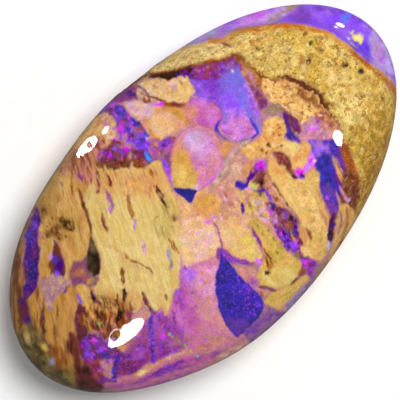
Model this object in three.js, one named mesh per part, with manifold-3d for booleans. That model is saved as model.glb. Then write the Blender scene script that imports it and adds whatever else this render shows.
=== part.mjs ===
// A polished boulder opal: opalised wood and purple opal held in one domed, free-form stone,
// with a band of sandstone across one end and a lower shelf of opal beyond it.
// The stone formed and was polished as one piece, so it is one solid.
// Units are millimetres. +X runs along the stone towards its sandstone end, +Y across it, +Z up.
// The origin is on the ground, under the middle of the stone's box.
import * as THREE from "three";
import { mergeVertices } from "three/addons/utils/BufferGeometryUtils.js";
import Module from "manifold-3d";

// Driving dimensions
const stone = {
  halfLength: 18.1,
  halfWidth: 10.4,
  height: 12, // ground to the top of the dome, without its swells
  girthHeight: 5.2, // height at which the stone is widest
  domeFullness: 2.5, // 2 is an ellipse, more is a flatter dome with a tighter shoulder
  seatShare: 0.62, // the ground flat under the stone, as a share of its plan
};

// The outline's departure from a plain ellipse, as a share of its radius, every 30 degrees from +X towards +Y
const planShares = [1, 0.995, 0.985, 1.005, 1, 1.02, 1, 0.98, 1.005, 0.985, 0.96, 0.965];

// Soft swells left on the dome by hand polishing: middle, reach and lift
const swells = [
  { x: -7, y: 2, reach: 6, lift: 0.3 },
  { x: 9, y: -2, reach: 4.5, lift: 0.35 },
  { x: 1.5, y: 4.5, reach: 3.5, lift: -0.25 },
  { x: -1, y: -6, reach: 4, lift: -0.2 },
];

// The outer edge of the sandstone band, seen from above, where the dome breaks off to the opal shelf.
// It starts and ends just outside the stone.
const ridgeLine = [
  [17.4, -6.2],
  [16.1, -3.2],
  [15.8, 0.2],
  [15.3, 2.6],
  [13.6, 5.0],
  [10.6, 7.2],
  [7.4, 8.9],
  [2.6, 11.4],
];
const shelf = {
  share: 0.57, // height of the shelf's surface over the girth, as a share of the dome's
  inset: 0.04, // keeps the two skins apart where they would lie on each other
};

// The crevice between the sandstone and the opal, in two runs that meet at a bend
const crevice = {
  halfWidth: 0.42,
  sunk: 0.12, // how far its centreline lies under the surface
  runs: [
    [[9.3, 6.2], [9.5, 4.6], [10.0, 3.2], [10.9, 1.7], [11.6, 0], [11.4, -1.7], [10.7, -3.5]],
    [[3.9, 9.6], [6.1, 8.2], [7.7, 7.2], [9.1, 6.4]],
  ],
};

// Hollows in the surface: middle, half length, half width, depth, and the turn of the long axis in degrees
const hollows = [
  { x: 10.1, y: 0.5, long: 2.9, wide: 1.15, deep: 0.42, turn: -68 }, // crumbly pocket beside the crevice
  { x: -11.0, y: -0.3, long: 1.9, wide: 1.05, deep: 0.55, turn: -62 }, // open fibres in the wood
  { x: -11.9, y: -2.2, long: 0.55, wide: 0.34, deep: 0.4, turn: 20 }, // small pits
  { x: -3.4, y: 9.0, long: 0.5, wide: 0.34, deep: 0.35, turn: -10 },
  { x: -8.6, y: 6.2, long: 0.7, wide: 0.4, deep: 0.3, turn: 40 },
];

// How finely the skin is divided
const grid = {
  patchCells: 28, // cells along each side of the square patch over the dome
  patchWay: 0.29, // how far down the skin that patch reaches
  sideRows: 21, // rows of cells from the patch to the ground
  ridgeSteps: 5, // along each stretch of the ridge line
  grooveSides: 8,
  grooveSteps: 16,
};

const wasm = await Module();
wasm.setup();

// Distance from the middle to the girth: an ellipse times a closed Catmull-Rom curve through the shares
function planRadius(bearing) {
  const { halfLength, halfWidth } = stone;
  const across = Math.hypot(halfWidth * Math.cos(bearing), halfLength * Math.sin(bearing));
  const ellipse = (halfLength * halfWidth) / across;
  const count = planShares.length;
  const turn = bearing / (2 * Math.PI);
  const place = (turn - Math.floor(turn)) * count;
  const first = Math.floor(place);
  const f = place - first;
  const [a, b, c, d] = [-1, 0, 1, 2].map((step) => planShares[(first + step + count) % count]);
  const linear = (c - a) * f;
  const square = (2 * a - 5 * b + 4 * c - d) * f ** 2;
  const cube = (3 * b - a - 3 * c + d) * f ** 3;
  return (ellipse * (2 * b + linear + square + cube)) / 2;
}

function swellAt(x, y) {
  const lifts = swells.map((s) => s.lift * Math.exp(-((x - s.x) ** 2 + (y - s.y) ** 2) / s.reach ** 2));
  return lifts.reduce((sum, lift) => sum + lift, 0);
}

// Height of the dome over a point of the plan
function domeHeight(x, y) {
  const out = Math.min(1, Math.hypot(x, y) / planRadius(Math.atan2(y, x)));
  const rise = Math.sqrt(1 - out ** stone.domeFullness);
  return stone.girthHeight + (stone.height - stone.girthHeight + swellAt(x, y)) * rise;
}

function domeNormal(x, y) {
  const step = 0.05;
  const slopeX = (domeHeight(x + step, y) - domeHeight(x - step, y)) / (2 * step);
  const slopeY = (domeHeight(x, y + step) - domeHeight(x, y - step)) / (2 * step);
  return new THREE.Vector3(-slopeX, -slopeY, 1).normalize();
}

// A point of the skin: way is 0 at the top, 0.5 at the girth and 1 at the ground flat's edge
function skinPoint(bearing, way, riseShare, inset) {
  const radius = planRadius(bearing) - inset;
  const angle = Math.min(way, 0.5) * Math.PI;
  const under = Math.max(way - 0.5, 0) * Math.PI;
  const narrowing = stone.seatShare + (1 - stone.seatShare) * Math.cos(under);
  const out = radius * Math.sin(angle) ** (2 / stone.domeFullness) * narrowing;
  const [x, y] = [out * Math.cos(bearing), out * Math.sin(bearing)];
  const rise = (stone.height - stone.girthHeight + swellAt(x, y)) * riseShare - inset;
  const z = stone.girthHeight * (1 - Math.sin(under)) + rise * Math.cos(angle);
  return [x, y, Math.abs(z) < 1e-6 ? 0 : z];
}

// A point of a square from -1 to 1 as a share of the way out and a bearing, both evenly spread
function squareToDisc(a, b) {
  const eighth = Math.PI / 4;
  if (a === 0 && b === 0) return [0, 0];
  if (Math.abs(a) > Math.abs(b)) return [Math.abs(a), (b / a) * eighth + (a < 0 ? Math.PI : 0)];
  return [Math.abs(b), (2 - a / b) * eighth + (b < 0 ? Math.PI : 0)];
}

// The closed skin: a square patch over the dome, rows of cells down the side, and the ground flat
function pebble(riseShare, inset) {
  const positions = [];
  const faces = [];
  const add = (point) => positions.push(...point) / 3 - 1;
  const n = grid.patchCells;
  const around = 4 * n;
  for (let i = 0; i <= n; i++) {
    for (let j = 0; j <= n; j++) {
      const [share, bearing] = squareToDisc((2 * i) / n - 1, (2 * j) / n - 1);
      add(skinPoint(bearing, share * grid.patchWay, riseShare, inset));
    }
  }
  const patch = (i, j) => i * (n + 1) + j;
  for (let i = 0; i < n; i++) {
    for (let j = 0; j < n; j++) {
      faces.push(patch(i, j), patch(i + 1, j), patch(i + 1, j + 1));
      faces.push(patch(i, j), patch(i + 1, j + 1), patch(i, j + 1));
    }
  }
  const edgeCorner = (k) => {
    const s = k % n;
    return [patch(n, s), patch(n - s, n), patch(0, n - s), patch(s, 0)][Math.floor(k / n)];
  };
  let upper = Array.from({ length: around }, (_, k) => edgeCorner(k));
  for (let row = 1; row <= grid.sideRows; row++) {
    const way = grid.patchWay + ((1 - grid.patchWay) * row) / grid.sideRows;
    const lower = upper.map((_, k) => add(skinPoint(((k / n - 0.5) * Math.PI) / 2, way, riseShare, inset)));
    for (let k = 0; k < around; k++) {
      const next = (k + 1) % around;
      faces.push(upper[k], lower[k], lower[next]);
      faces.push(upper[k], lower[next], upper[next]);
    }
    upper = lower;
  }
  const middle = add([0, 0, 0]);
  upper.forEach((corner, k) => faces.push(middle, upper[(k + 1) % around], corner));
  return solidOf(Float32Array.from(positions), Uint32Array.from(faces));
}

function solidOf(vertProperties, triVerts) {
  return new wasm.Manifold(new wasm.Mesh({ numProp: 3, vertProperties, triVerts }));
}

function solidOfGeometry(geometry) {
  geometry.deleteAttribute("normal");
  geometry.deleteAttribute("uv");
  const merged = mergeVertices(geometry, 1e-4);
  return solidOf(merged.getAttribute("position").array, Uint32Array.from(merged.index.array));
}

// What is polished away beyond the ridge line, from the girth up
function beyondRidge() {
  const away = 30;
  const shape = new THREE.Shape();
  shape.moveTo(...ridgeLine[0]);
  shape.splineThru(ridgeLine.slice(1).map(([x, y]) => new THREE.Vector2(x, y)));
  shape.lineTo(ridgeLine.at(-1)[0], away);
  shape.lineTo(away, away);
  shape.lineTo(away, ridgeLine[0][1]);
  const prism = new THREE.ExtrudeGeometry(shape, {
    depth: stone.height,
    bevelEnabled: false,
    curveSegments: grid.ridgeSteps,
  });
  return solidOfGeometry(prism.translate(0, 0, stone.girthHeight));
}

// A round-bottomed groove along the dome
function creviceCutter(run) {
  const path = run.map(([x, y]) => {
    const surface = new THREE.Vector3(x, y, domeHeight(x, y));
    return surface.addScaledVector(domeNormal(x, y), -crevice.sunk);
  });
  const section = new THREE.Shape();
  for (let side = 0; side < grid.grooveSides; side++) {
    const angle = (side / grid.grooveSides) * 2 * Math.PI;
    const point = [crevice.halfWidth * Math.cos(angle), crevice.halfWidth * Math.sin(angle)];
    if (side === 0) section.moveTo(...point);
    else section.lineTo(...point);
  }
  const extrudePath = new THREE.CatmullRomCurve3(path);
  return solidOfGeometry(new THREE.ExtrudeGeometry(section, { steps: grid.grooveSteps, extrudePath }));
}

// A shallow bowl sunk into the dome, along its slope
function hollowCutter({ x, y, long, wide, deep, turn }) {
  const bowl = new THREE.Object3D();
  const up = new THREE.Vector3(0, 0, 1);
  const lean = new THREE.Quaternion().setFromUnitVectors(up, domeNormal(x, y));
  const spin = new THREE.Quaternion().setFromAxisAngle(up, THREE.MathUtils.degToRad(turn));
  bowl.quaternion.multiplyQuaternions(lean, spin);
  bowl.position.set(x, y, domeHeight(x, y));
  bowl.scale.set(long, wide, deep);
  bowl.updateMatrix();
  return solidOfGeometry(new THREE.SphereGeometry(1, 18, 12).applyMatrix4(bowl.matrix));
}

function stoneGeometry() {
  let solid = pebble(1, 0).subtract(beyondRidge()).add(pebble(shelf.share, shelf.inset));
  for (const run of crevice.runs) solid = solid.subtract(creviceCutter(run));
  for (const hollow of hollows) solid = solid.subtract(hollowCutter(hollow));
  const { vertProperties, triVerts } = solid.getMesh();
  const geometry = new THREE.BufferGeometry();
  geometry.setAttribute("position", new THREE.BufferAttribute(Float32Array.from(vertProperties), 3));
  geometry.setIndex(new THREE.BufferAttribute(Uint32Array.from(triVerts), 1));
  geometry.computeBoundingBox();
  const middle = geometry.boundingBox.getCenter(new THREE.Vector3());
  geometry.translate(-middle.x, -middle.y, 0);
  geometry.computeVertexNormals();
  return geometry;
}

const polishedOpal = new THREE.MeshStandardMaterial({ color: 0xa87a86, roughness: 0.15, metalness: 0 });
const boulderOpal = new THREE.Mesh(stoneGeometry(), polishedOpal);
boulderOpal.name = "boulder_opal";

const part = new THREE.Group();
part.add(boulderOpal);
export default part;
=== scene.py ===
import bpy
import math
import numpy as np
from mathutils import Matrix, Vector


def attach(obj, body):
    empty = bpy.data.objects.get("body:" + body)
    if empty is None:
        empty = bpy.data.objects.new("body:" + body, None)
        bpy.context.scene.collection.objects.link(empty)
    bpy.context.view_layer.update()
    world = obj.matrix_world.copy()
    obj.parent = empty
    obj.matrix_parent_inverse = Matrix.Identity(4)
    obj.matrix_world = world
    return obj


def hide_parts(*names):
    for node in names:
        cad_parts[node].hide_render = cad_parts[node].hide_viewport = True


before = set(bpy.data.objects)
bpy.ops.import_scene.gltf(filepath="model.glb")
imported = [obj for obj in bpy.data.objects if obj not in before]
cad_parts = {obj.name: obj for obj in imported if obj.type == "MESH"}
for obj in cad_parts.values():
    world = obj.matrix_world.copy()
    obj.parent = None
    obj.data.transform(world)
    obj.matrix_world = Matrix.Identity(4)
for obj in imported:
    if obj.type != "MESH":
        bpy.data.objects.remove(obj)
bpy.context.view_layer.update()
mm = 0.001
print("frame loaded")

# How the photo lies on the stone: its middle in pixels, pixels per mm at the girth,
# and the turn of the stone's +X in it
photo = {
    "size": 400,
    "middle": (205.7, 199.1),
    "perMm": 13.2,
    "turn": math.radians(45.5),
    "lens": 250,
    "sensor": 36,
}

# The stone's form, as the frame has it, in mm
stone = {
    "halfLength": 18.1,
    "halfWidth": 10.4,
    "height": 12.0,
    "girthHeight": 5.2,
    "domeFullness": 2.5,  # 2 is an ellipse, more is a flatter dome
    "seatShare": 0.62,  # width of the flat that it rests on, as a share of the girth
    "planShares": [1, 0.995, 0.985, 1.005, 1, 1.02, 1, 0.98, 1.005, 0.985, 0.96, 0.965],
    # x, y, reach, lift
    "swells": [(-7, 2, 6, 0.3), (9, -2, 4.5, 0.35), (1.5, 4.5, 3.5, -0.25), (-1, -6, 4, -0.2)],
    "ridge": [
        (17.4, -6.2), (16.1, -3.2), (15.8, 0.2), (15.3, 2.6),
        (13.6, 5.0), (10.6, 7.2), (7.4, 8.9), (2.6, 11.4),
    ],
    "shelfShare": 0.57,  # the shelf's rise above the girth, as a share of the dome's
    "ridgeWidth": 0.5,  # plan width of the break from the dome to the shelf
    # middle, half length, half width, depth, turn of the long axis in degrees
    "hollows": [
        (10.1, 0.5, 2.9, 1.15, 0.42, -68),
        (-11.0, -0.3, 1.9, 1.05, 0.55, -62),
        (-11.9, -2.2, 0.42, 0.26, 0.3, 20),
        (-3.2, 9.15, 0.3, 0.13, 0.08, 70),
        (-8.6, 6.0, 0.4, 0.25, 0.16, 40),
    ],
    "cells": (352, 202),  # cells of the patch over the dome, along X and along Y
    "patchOut": 0.93,  # how far out that patch reaches, as a share of the plan
    "upperRows": 12,  # rings from there to the girth
    "lowerRows": 12,  # rings from the girth to the flat
    "steepBelow": 8.6,  # height below which the clouds of colour follow the skin down the side
    "steepEase": 0.6,  # mm over which that sets in
    "richness": 1.1,  # makes up for the white that the polish adds
    "footAngles": (0.95, 1.45),  # under the girth, where the foot's colours begin and are full
    "footRagged": 0.35,  # how unevenly they begin
    "footSand": 0.8,  # how sandy the foot is
    # relief: height and size of the sand's grain, and height, width and length of the wood's fibres
    "grain": (0.014, 0.22),
    "fibres": (0.012, 2.2, 14),
    "dullHollow": (0.02, 0.12),  # depths from which the polish is lost and gone
    "slitShade": (0.08, 0.3),  # depths from which painted shade darkens a slit, and where it is darkest
    "reliefAngles": (1.5, 1.2),  # under the girth, where the relief is gone and where it is whole
}


# Noise and curves in plain numpy
def blend(first, second, share):
    return first * (1 - share) + second * share


def turned(x, y, angle):  # how far along and across a direction at this angle
    cosine, sine = math.cos(angle), math.sin(angle)
    return x * cosine + y * sine, y * cosine - x * sine


def latticeNoise(x, y, seed):
    column = np.floor(x).astype(np.int64)
    row = np.floor(y).astype(np.int64)
    fx = x - column
    fy = y - row
    fx = fx * fx * (3 - 2 * fx)
    fy = fy * fy * (3 - 2 * fy)

    def corner(i, j):
        n = ((column + i) * 374761393 + (row + j) * 668265263 + seed * 974634777) & 0xFFFFFFFF
        n = ((n ^ (n >> 13)) * 1274126177) & 0xFFFFFFFF
        return ((n ^ (n >> 16)) & 0xFFFF) / 65535

    return blend(blend(corner(0, 0), corner(1, 0), fx), blend(corner(0, 1), corner(1, 1), fx), fy)


def clouds(x, y, seed, octaves=3):
    total = np.zeros_like(x)
    weight = 1.0
    for octave in range(octaves):
        turnedX, turnedY = turned(x, y, -0.6 - octave)  # so that the octaves' lattices don't line up
        total += weight * (latticeNoise(turnedX, turnedY, seed + octave) - 0.5)
        x, y, weight = x * 2, y * 2, weight * 0.5
    return total


def smoothstep(low, high, value):
    t = np.clip((value - low) / (high - low), 0, 1)
    return t * t * (3 - 2 * t)


def curveAt(p, q, r, s, f):  # share f of the way from q to r on a smooth curve through all four
    bend = (2 * p - 5 * q + 4 * r - s) * f ** 2 + (3 * q - p - 3 * r + s) * f ** 3
    return (2 * q + (r - p) * f + bend) / 2


def curveThrough(points, closed, steps=4):
    points = np.array(points, float)
    count = len(points)
    if not closed:
        points = np.vstack([points[:1], points, points[-1:]])
    made = []
    for k in range(count if closed else count - 1):
        picked = [(k + step) % count for step in (-1, 0, 1, 2)] if closed else [k, k + 1, k + 2, k + 3]
        made += [curveAt(*points[picked], f) for f in np.arange(steps) / steps]
    if not closed:
        made.append(points[-1])
    return np.array(made)


def edgeDistance(x, y, start, end):
    along = end - start
    length = max(float(along @ along), 1e-12)
    share = np.clip(((x - start[0]) * along[0] + (y - start[1]) * along[1]) / length, 0, 1)
    return np.hypot(x - start[0] - share * along[0], y - start[1] - share * along[1]), share


def insideDistance(outline, x, y):  # positive inside
    nearest = np.full(x.shape, 1e9)
    inside = np.zeros(x.shape, bool)
    for start, end in zip(outline, np.roll(outline, -1, axis=0)):
        distance, _ = edgeDistance(x, y, start, end)
        nearest = np.minimum(nearest, distance)
        if start[1] != end[1]:
            crosses = (start[1] > y) != (end[1] > y)
            at = start[0] + (y - start[1]) * (end[0] - start[0]) / (end[1] - start[1])
            inside ^= crosses & (x < at)
    return np.where(inside, nearest, -nearest)


def pathDistance(path, x, y):  # distance, and how far along the path its nearest point lies, 0 to 1
    nearest = np.full(x.shape, 1e9)
    place = np.zeros(x.shape)
    pieces = len(path) - 1
    for k in range(pieces):
        distance, share = edgeDistance(x, y, path[k], path[k + 1])
        closer = distance < nearest
        nearest = np.where(closer, distance, nearest)
        place = np.where(closer, (k + share) / pieces, place)
    return nearest, place


# Colours of the stone
tones = {
    "sand": "d2ac58", "wheat": "e2c880", "mustard": "b28c3c", "brass": "9e7a2a", "tobacco": "84561f",
    "crimson": "96304a", "clay": "a25c58", "copper": "c4702a", "tan": "e4b26c", "buff": "efc889",
    "gold": "dbb66c", "khaki": "bfa54e", "honey": "dd9a5e", "cream": "e8d092", "straw": "dab878",
    "amber": "d09660", "flax": "cbb768", "oak": "b58245", "cedar": "c5806a", "walnut": "80501f",
    "ochre": "cc9850", "yellow": "dfc760", "peach": "e4b480", "shell": "ecc8a8", "apricot": "dd9a5c",
    "salmon": "d68f88", "blush": "c58f80", "rose": "cf7390", "pink": "cf80ae", "petal": "e6aacb",
    "orchid": "b156a8", "lilac": "d48aec", "lavender": "c69be7", "mist": "d9bdee", "mauve": "a5749e",
    "heather": "7d4a78", "haze": "a9a2d0", "violet": "7e48c0", "iris": "8a56f7", "violetSoft": "9a6be0",
    "grape": "46157e", "lapis": "4032a6", "ink": "2c2872", "blue": "4a42b8", "slate": "7e74d6",
    "sky": "4f8cf4", "magenta": "e055ee", "fuchsia": "ea38f2", "purple": "7c2c98", "plum": "6d2b58",
    "berry": "984068", "maroon": "6e2c30", "umber": "733723", "cocoa": "4c2412", "soot": "26120a",
    "rust": "a04e1e", "brick": "8e4a3a", "bronze": "7a4026", "olive": "8d7a42", "moss": "443822",
    "oliveBrown": "765c3c", "taupe": "957276", "dove": "a8867c", "green": "86cc78", "white": "f4eef4",
    "lemon": "ffe98a", "underBrown": "6b4c34", "underTan": "a58656", "underMauve": "86606c",
}


def linear(name):
    code = tones[name]
    channels = np.array([int(code[k:k + 2], 16) / 255 for k in (0, 2, 4)])
    return np.where(channels <= 0.04045, channels / 12.92, ((channels + 0.055) / 1.055) ** 2.4)


# The layers of the stone's pattern, from the lowest to the one on top, in photo pixels
layers = []
everywhere = [(-200, -200), (600, -200), (600, 600), (-200, 600)]


def addLayer(form, points, colours, **settings):
    layer = dict(form=form, points=points, colours=colours.split() if colours else None)
    layer.update(kind=None, run=None, flash=None, sink=None, dull=None, strength=1, rim=None)
    layer.update(settings)
    layers.append(layer)


# edge is how softly a layer ends, mottle the size of its clouds of colour, ragged how rough its outline
# is, run the way its fibres go, flash the tone and share of its sparks, sink how deep it lies and dull how
# much polish it has lost
def patch(outline, colours, edge=0.9, mottle=7, kind="opal", ragged=0.8, sink=0, dull=0, smooth=True,
          **settings):
    addLayer("patch", outline, colours, edge=edge, mottle=mottle, kind=kind, ragged=ragged, sink=sink,
             dull=dull, smooth=smooth, **settings)


def stroke(path, width, colours, edge=0.7, mottle=4, ragged=0.5, taper=True, **settings):
    addLayer("stroke", path, colours, width=width, edge=edge, mottle=mottle, ragged=ragged, taper=taper,
             **settings)


def spot(x, y, radius, colours, long=None, turn=0, edge=1.2, strength=1, ragged=0.6, mottle=3, **settings):
    addLayer("spot", [(x, y)], colours, radius=radius, long=long or radius, turn=turn, edge=edge,
             strength=strength, ragged=ragged, mottle=mottle, **settings)


def spots(rows, **settings):  # x, y, radius, half length, turn, colour
    for x, y, radius, long, turn, colour in rows:
        spot(x, y, radius, colour, long, turn, **settings)


def groove(path, width, depth, edge=3.0, ragged=1.0):  # cuts into the stone without a colour of its own
    stroke(path, width, None, edge, ragged=ragged, sink=depth, dull=1)


def scatter(outline, count, radii, colours, seed, stretch=1.0, turn=0, **settings):
    draw = np.random.default_rng(seed)
    shape = curveThrough(outline, True)
    low, high = shape.min(0), shape.max(0)
    names = colours.split()
    placed = 0
    while placed < count:
        x, y = low + (high - low) * draw.random(2)
        if insideDistance(shape, np.array([x]), np.array([y]))[0] < 0:
            continue
        radius = radii[0] + (radii[1] - radii[0]) * draw.random()
        pick = names[int(draw.random() * len(names))]
        spot(x, y, radius, pick, radius * stretch, turn + 12 * (draw.random() - 0.5), **settings)
        placed += 1


kinds = {"opal": (0, 0), "wood": (0, 1), "sand": (1, 0), "crumb": (0.45, 0.25)}  # shares of sand and wood
woodRun = 73  # direction of the wood's fibres in the photo, in degrees below its right-hand side


def paintGrounds():
    patch(everywhere, "blush mauve salmon", 0.9, 11, smooth=False)
    # the lower field of pink and magenta opal
    lowerField = [(178, 262), (200, 262), (219, 252), (222, 262), (216, 285), (217, 300), (224, 318),
        (240, 335), (262, 345), (310, 325), (400, 420), (200, 520), (90, 500), (92, 385), (104, 352),
        (128, 348), (140, 330), (150, 312), (160, 312), (172, 300), (180, 285)]
    patch(lowerField, "orchid rose pink", 0.9, 9, flash=("magenta", 0.7))
    pinkHaze = [(180, 262), (200, 262), (218, 254), (216, 300), (238, 338), (222, 340), (208, 330),
        (192, 295)]
    patch(pinkHaze, "pink petal salmon", 6, 8, flash=("lilac", 0.35))
    purpleCorner = [(128, 348), (150, 314), (166, 318), (184, 332), (182, 352), (140, 364), (118, 376),
        (100, 372), (98, 352)]
    patch(purpleCorner, "orchid purple berry", 5, 6, flash=("iris", 0.8))
    spot(194, 304, 6, "orchid purple", 20, 72, 7, 0.5)
    spot(206, 314, 8, "blush salmon", 24, 68, 8, 0.75)
    spot(221, 325, 7, "salmon apricot", 16, 62, 7, 0.7)
    spot(182, 340, 5, "clay blush", 12, -20, 6, 0.8)
    spot(130, 344, 4, "clay crimson", 8, -30, 4, 0.8)
    spot(186, 274, 8, "orchid violetSoft", 14, 80, 7, 0.5)
    roseFoot = [(200, 330), (222, 330), (262, 344), (300, 330), (330, 380), (240, 420), (205, 380)]
    patch(roseFoot, "salmon blush pink", 8, 8)


def paintLowerRim():
    stroke([(100, 384), (145, 374), (165, 362), (190, 351), (240, 338)], 8, "salmon apricot rose", 3,
        strength=0.9)
    stroke([(112, 388), (140, 382), (195, 362), (225, 354), (250, 342)], 9, "orchid rose purple", 2.6, 6,
        flash=("magenta", 0.6))
    stroke([(152, 375), (184, 361)], 6, "violet purple", 2)
    stroke([(133, 377), (156, 364)], 6, "apricot peach", 2.4)
    spot(142, 372, 3, "lemon", 4.4, -25, 2.2)
    stroke([(152, 366), (168, 358), (186, 351)], 2.6, "apricot shell", 1.4)
    stroke([(112, 390), (140, 385), (205, 363), (235, 350)], 3, "salmon pink", 1.8, strength=0.8)
    dullRim = [(90, 394), (130, 392), (165, 385), (240, 358), (268, 339), (300, 320), (345, 400),
        (200, 520), (60, 500)]
    patch(dullRim, "taupe blush underMauve", 4, 10)
    # painted light: a paler band along the lower outline
    stroke([(218, 357), (246, 346), (270, 330)], 8, "shell salmon", 3.5, strength=0.85)
    goldRim = [(215, 368), (245, 354), (272, 334), (325, 283), (344, 245), (362, 205), (460, 260),
        (400, 420), (260, 440)]
    patch(goldRim, "gold dove wheat", 5, 9)


def paintMiddle():
    # peach and orange opal between the ball and the lower nodules
    peachGround = [(178, 196), (196, 184), (215, 180), (232, 182), (240, 192), (240, 215), (228, 224),
        (212, 222), (196, 214), (180, 222), (177, 210)]
    patch(peachGround, "peach apricot blush", 0.9, 8, flash=("lilac", 0.3))
    patch([(178, 204), (190, 203), (196, 212), (186, 220), (178, 222)], "peach blush", 2, 6)
    ochreHeart = [(197, 198), (207, 195), (218, 198), (221, 209), (213, 218), (200, 216), (194, 207)]
    patch(ochreHeart, "ochre apricot tan", 4, 9)
    patch([(216, 188), (228, 186), (236, 194), (236, 206), (228, 208), (220, 200)], "blush salmon", 3, 5)
    spot(206, 215, 7, "apricot blush", 10, 10, 6, 0.7)
    spot(226, 214, 6, "blush amber", 9, 80, 5, 0.7)
    # yellow-pink ground right of it
    yellowGround = [(236, 192), (244, 188), (256, 190), (268, 196), (278, 212), (276, 224), (262, 222),
        (250, 220), (246, 236), (254, 250), (258, 262), (244, 260), (230, 252), (221, 240), (214, 226),
        (228, 222)]
    patch(yellowGround, "peach tan blush", 0.9, 6, flash=("lilac", 0.4))
    # nodule with peach and lavender flecks
    fleckedNodule = [(181, 224), (194, 216), (207, 219), (215, 227), (219, 238), (221, 248), (217, 255),
        (194, 263), (184, 266), (179, 250), (178, 236)]
    patch(fleckedNodule, "peach shell buff", flash=("petal", 0.6), rim=("salmon", 4, 0.35))
    spot(203, 246, 9, "shell petal", 13, -40, 7, 0.5)
    yellowNodule = [(222, 230), (234, 224), (246, 226), (254, 238), (260, 250), (262, 259), (246, 261),
        (232, 254), (224, 244)]
    patch(yellowNodule, "peach yellow tan", flash=("petal", 0.6), rim=("salmon", 3, 0.4))
    spot(251, 253, 5, "yellow", 7, 40, 4, 0.7)
    spot(228, 238, 5, "shell", 9, 60, 5, 0.5)
    greyPiece = [(222, 250), (236, 257), (250, 262), (257, 268), (257, 280), (250, 283), (240, 275)]
    patch(greyPiece, "blush dove salmon", 0.9, 5, rim=("heather", 2, 0.4))
    spot(253, 281, 3.4, "orchid mauve", 5, 50, 2.5)
    stroke([(214, 222), (219, 232), (222, 250)], 2.2, "heather pink", 1)
    plumSeam = [(214, 254), (219, 247), (222, 249), (240, 259), (252, 262), (246, 265), (226, 262),
        (218, 259)]
    patch(plumSeam, "berry heather violet", 1.4, 4, ragged=1.2, flash=("magenta", 0.5))


def paintFacets():
    blueFacet = [(221, 246), (223, 256), (232, 265), (241, 276), (262, 298), (264, 310), (256, 321),
        (244, 333), (237, 337), (228, 328), (221, 313), (215, 281), (219, 264)]
    patch(blueFacet, "lapis ink lapis", 0.8, 6, flash=("iris", 0.35))
    patch([(226, 318), (236, 320), (246, 318), (248, 328), (238, 336), (230, 330)], "violet heather", 4, 4,
        strength=0.5)
    scatter([(240, 275), (262, 298), (252, 318), (238, 285)], 60, (0.4, 0.9), "magenta iris iris", 11,
        strength=0.8, edge=0.7)
    scatter([(224, 262), (240, 278), (262, 300), (238, 334)], 90, (0.4, 0.8), "iris blue violet ink", 12,
        strength=0.6, edge=0.8)
    mauveFacet = [(263, 303), (270, 308), (292, 317), (275, 342), (256, 345), (244, 334), (256, 322),
        (264, 311)]
    patch(mauveFacet, "heather violet mauve", 2, 6)
    inkSliver = [(173, 188), (185, 188.5), (197, 190), (195, 195), (191, 203), (183, 198)]
    patch(inkSliver, "ink lapis", 0.7, 5, ragged=0.3)
    patch([(234, 186), (238, 180), (244, 183), (250, 180), (247, 187), (240, 190)], "lapis grape", 0.8)
    darkWedge = [(284, 112), (287, 115), (289, 124), (293, 132), (302, 142), (294, 142), (288, 139),
        (286, 129), (283, 118)]
    patch(darkWedge, "grape plum ink", 1, 4, flash=("blue", 0.4))
    stroke([(287, 127), (289, 134), (294, 139), (301, 142)], 4.6, "blue ink violet", 1.4, 3, ragged=1.4)


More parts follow.
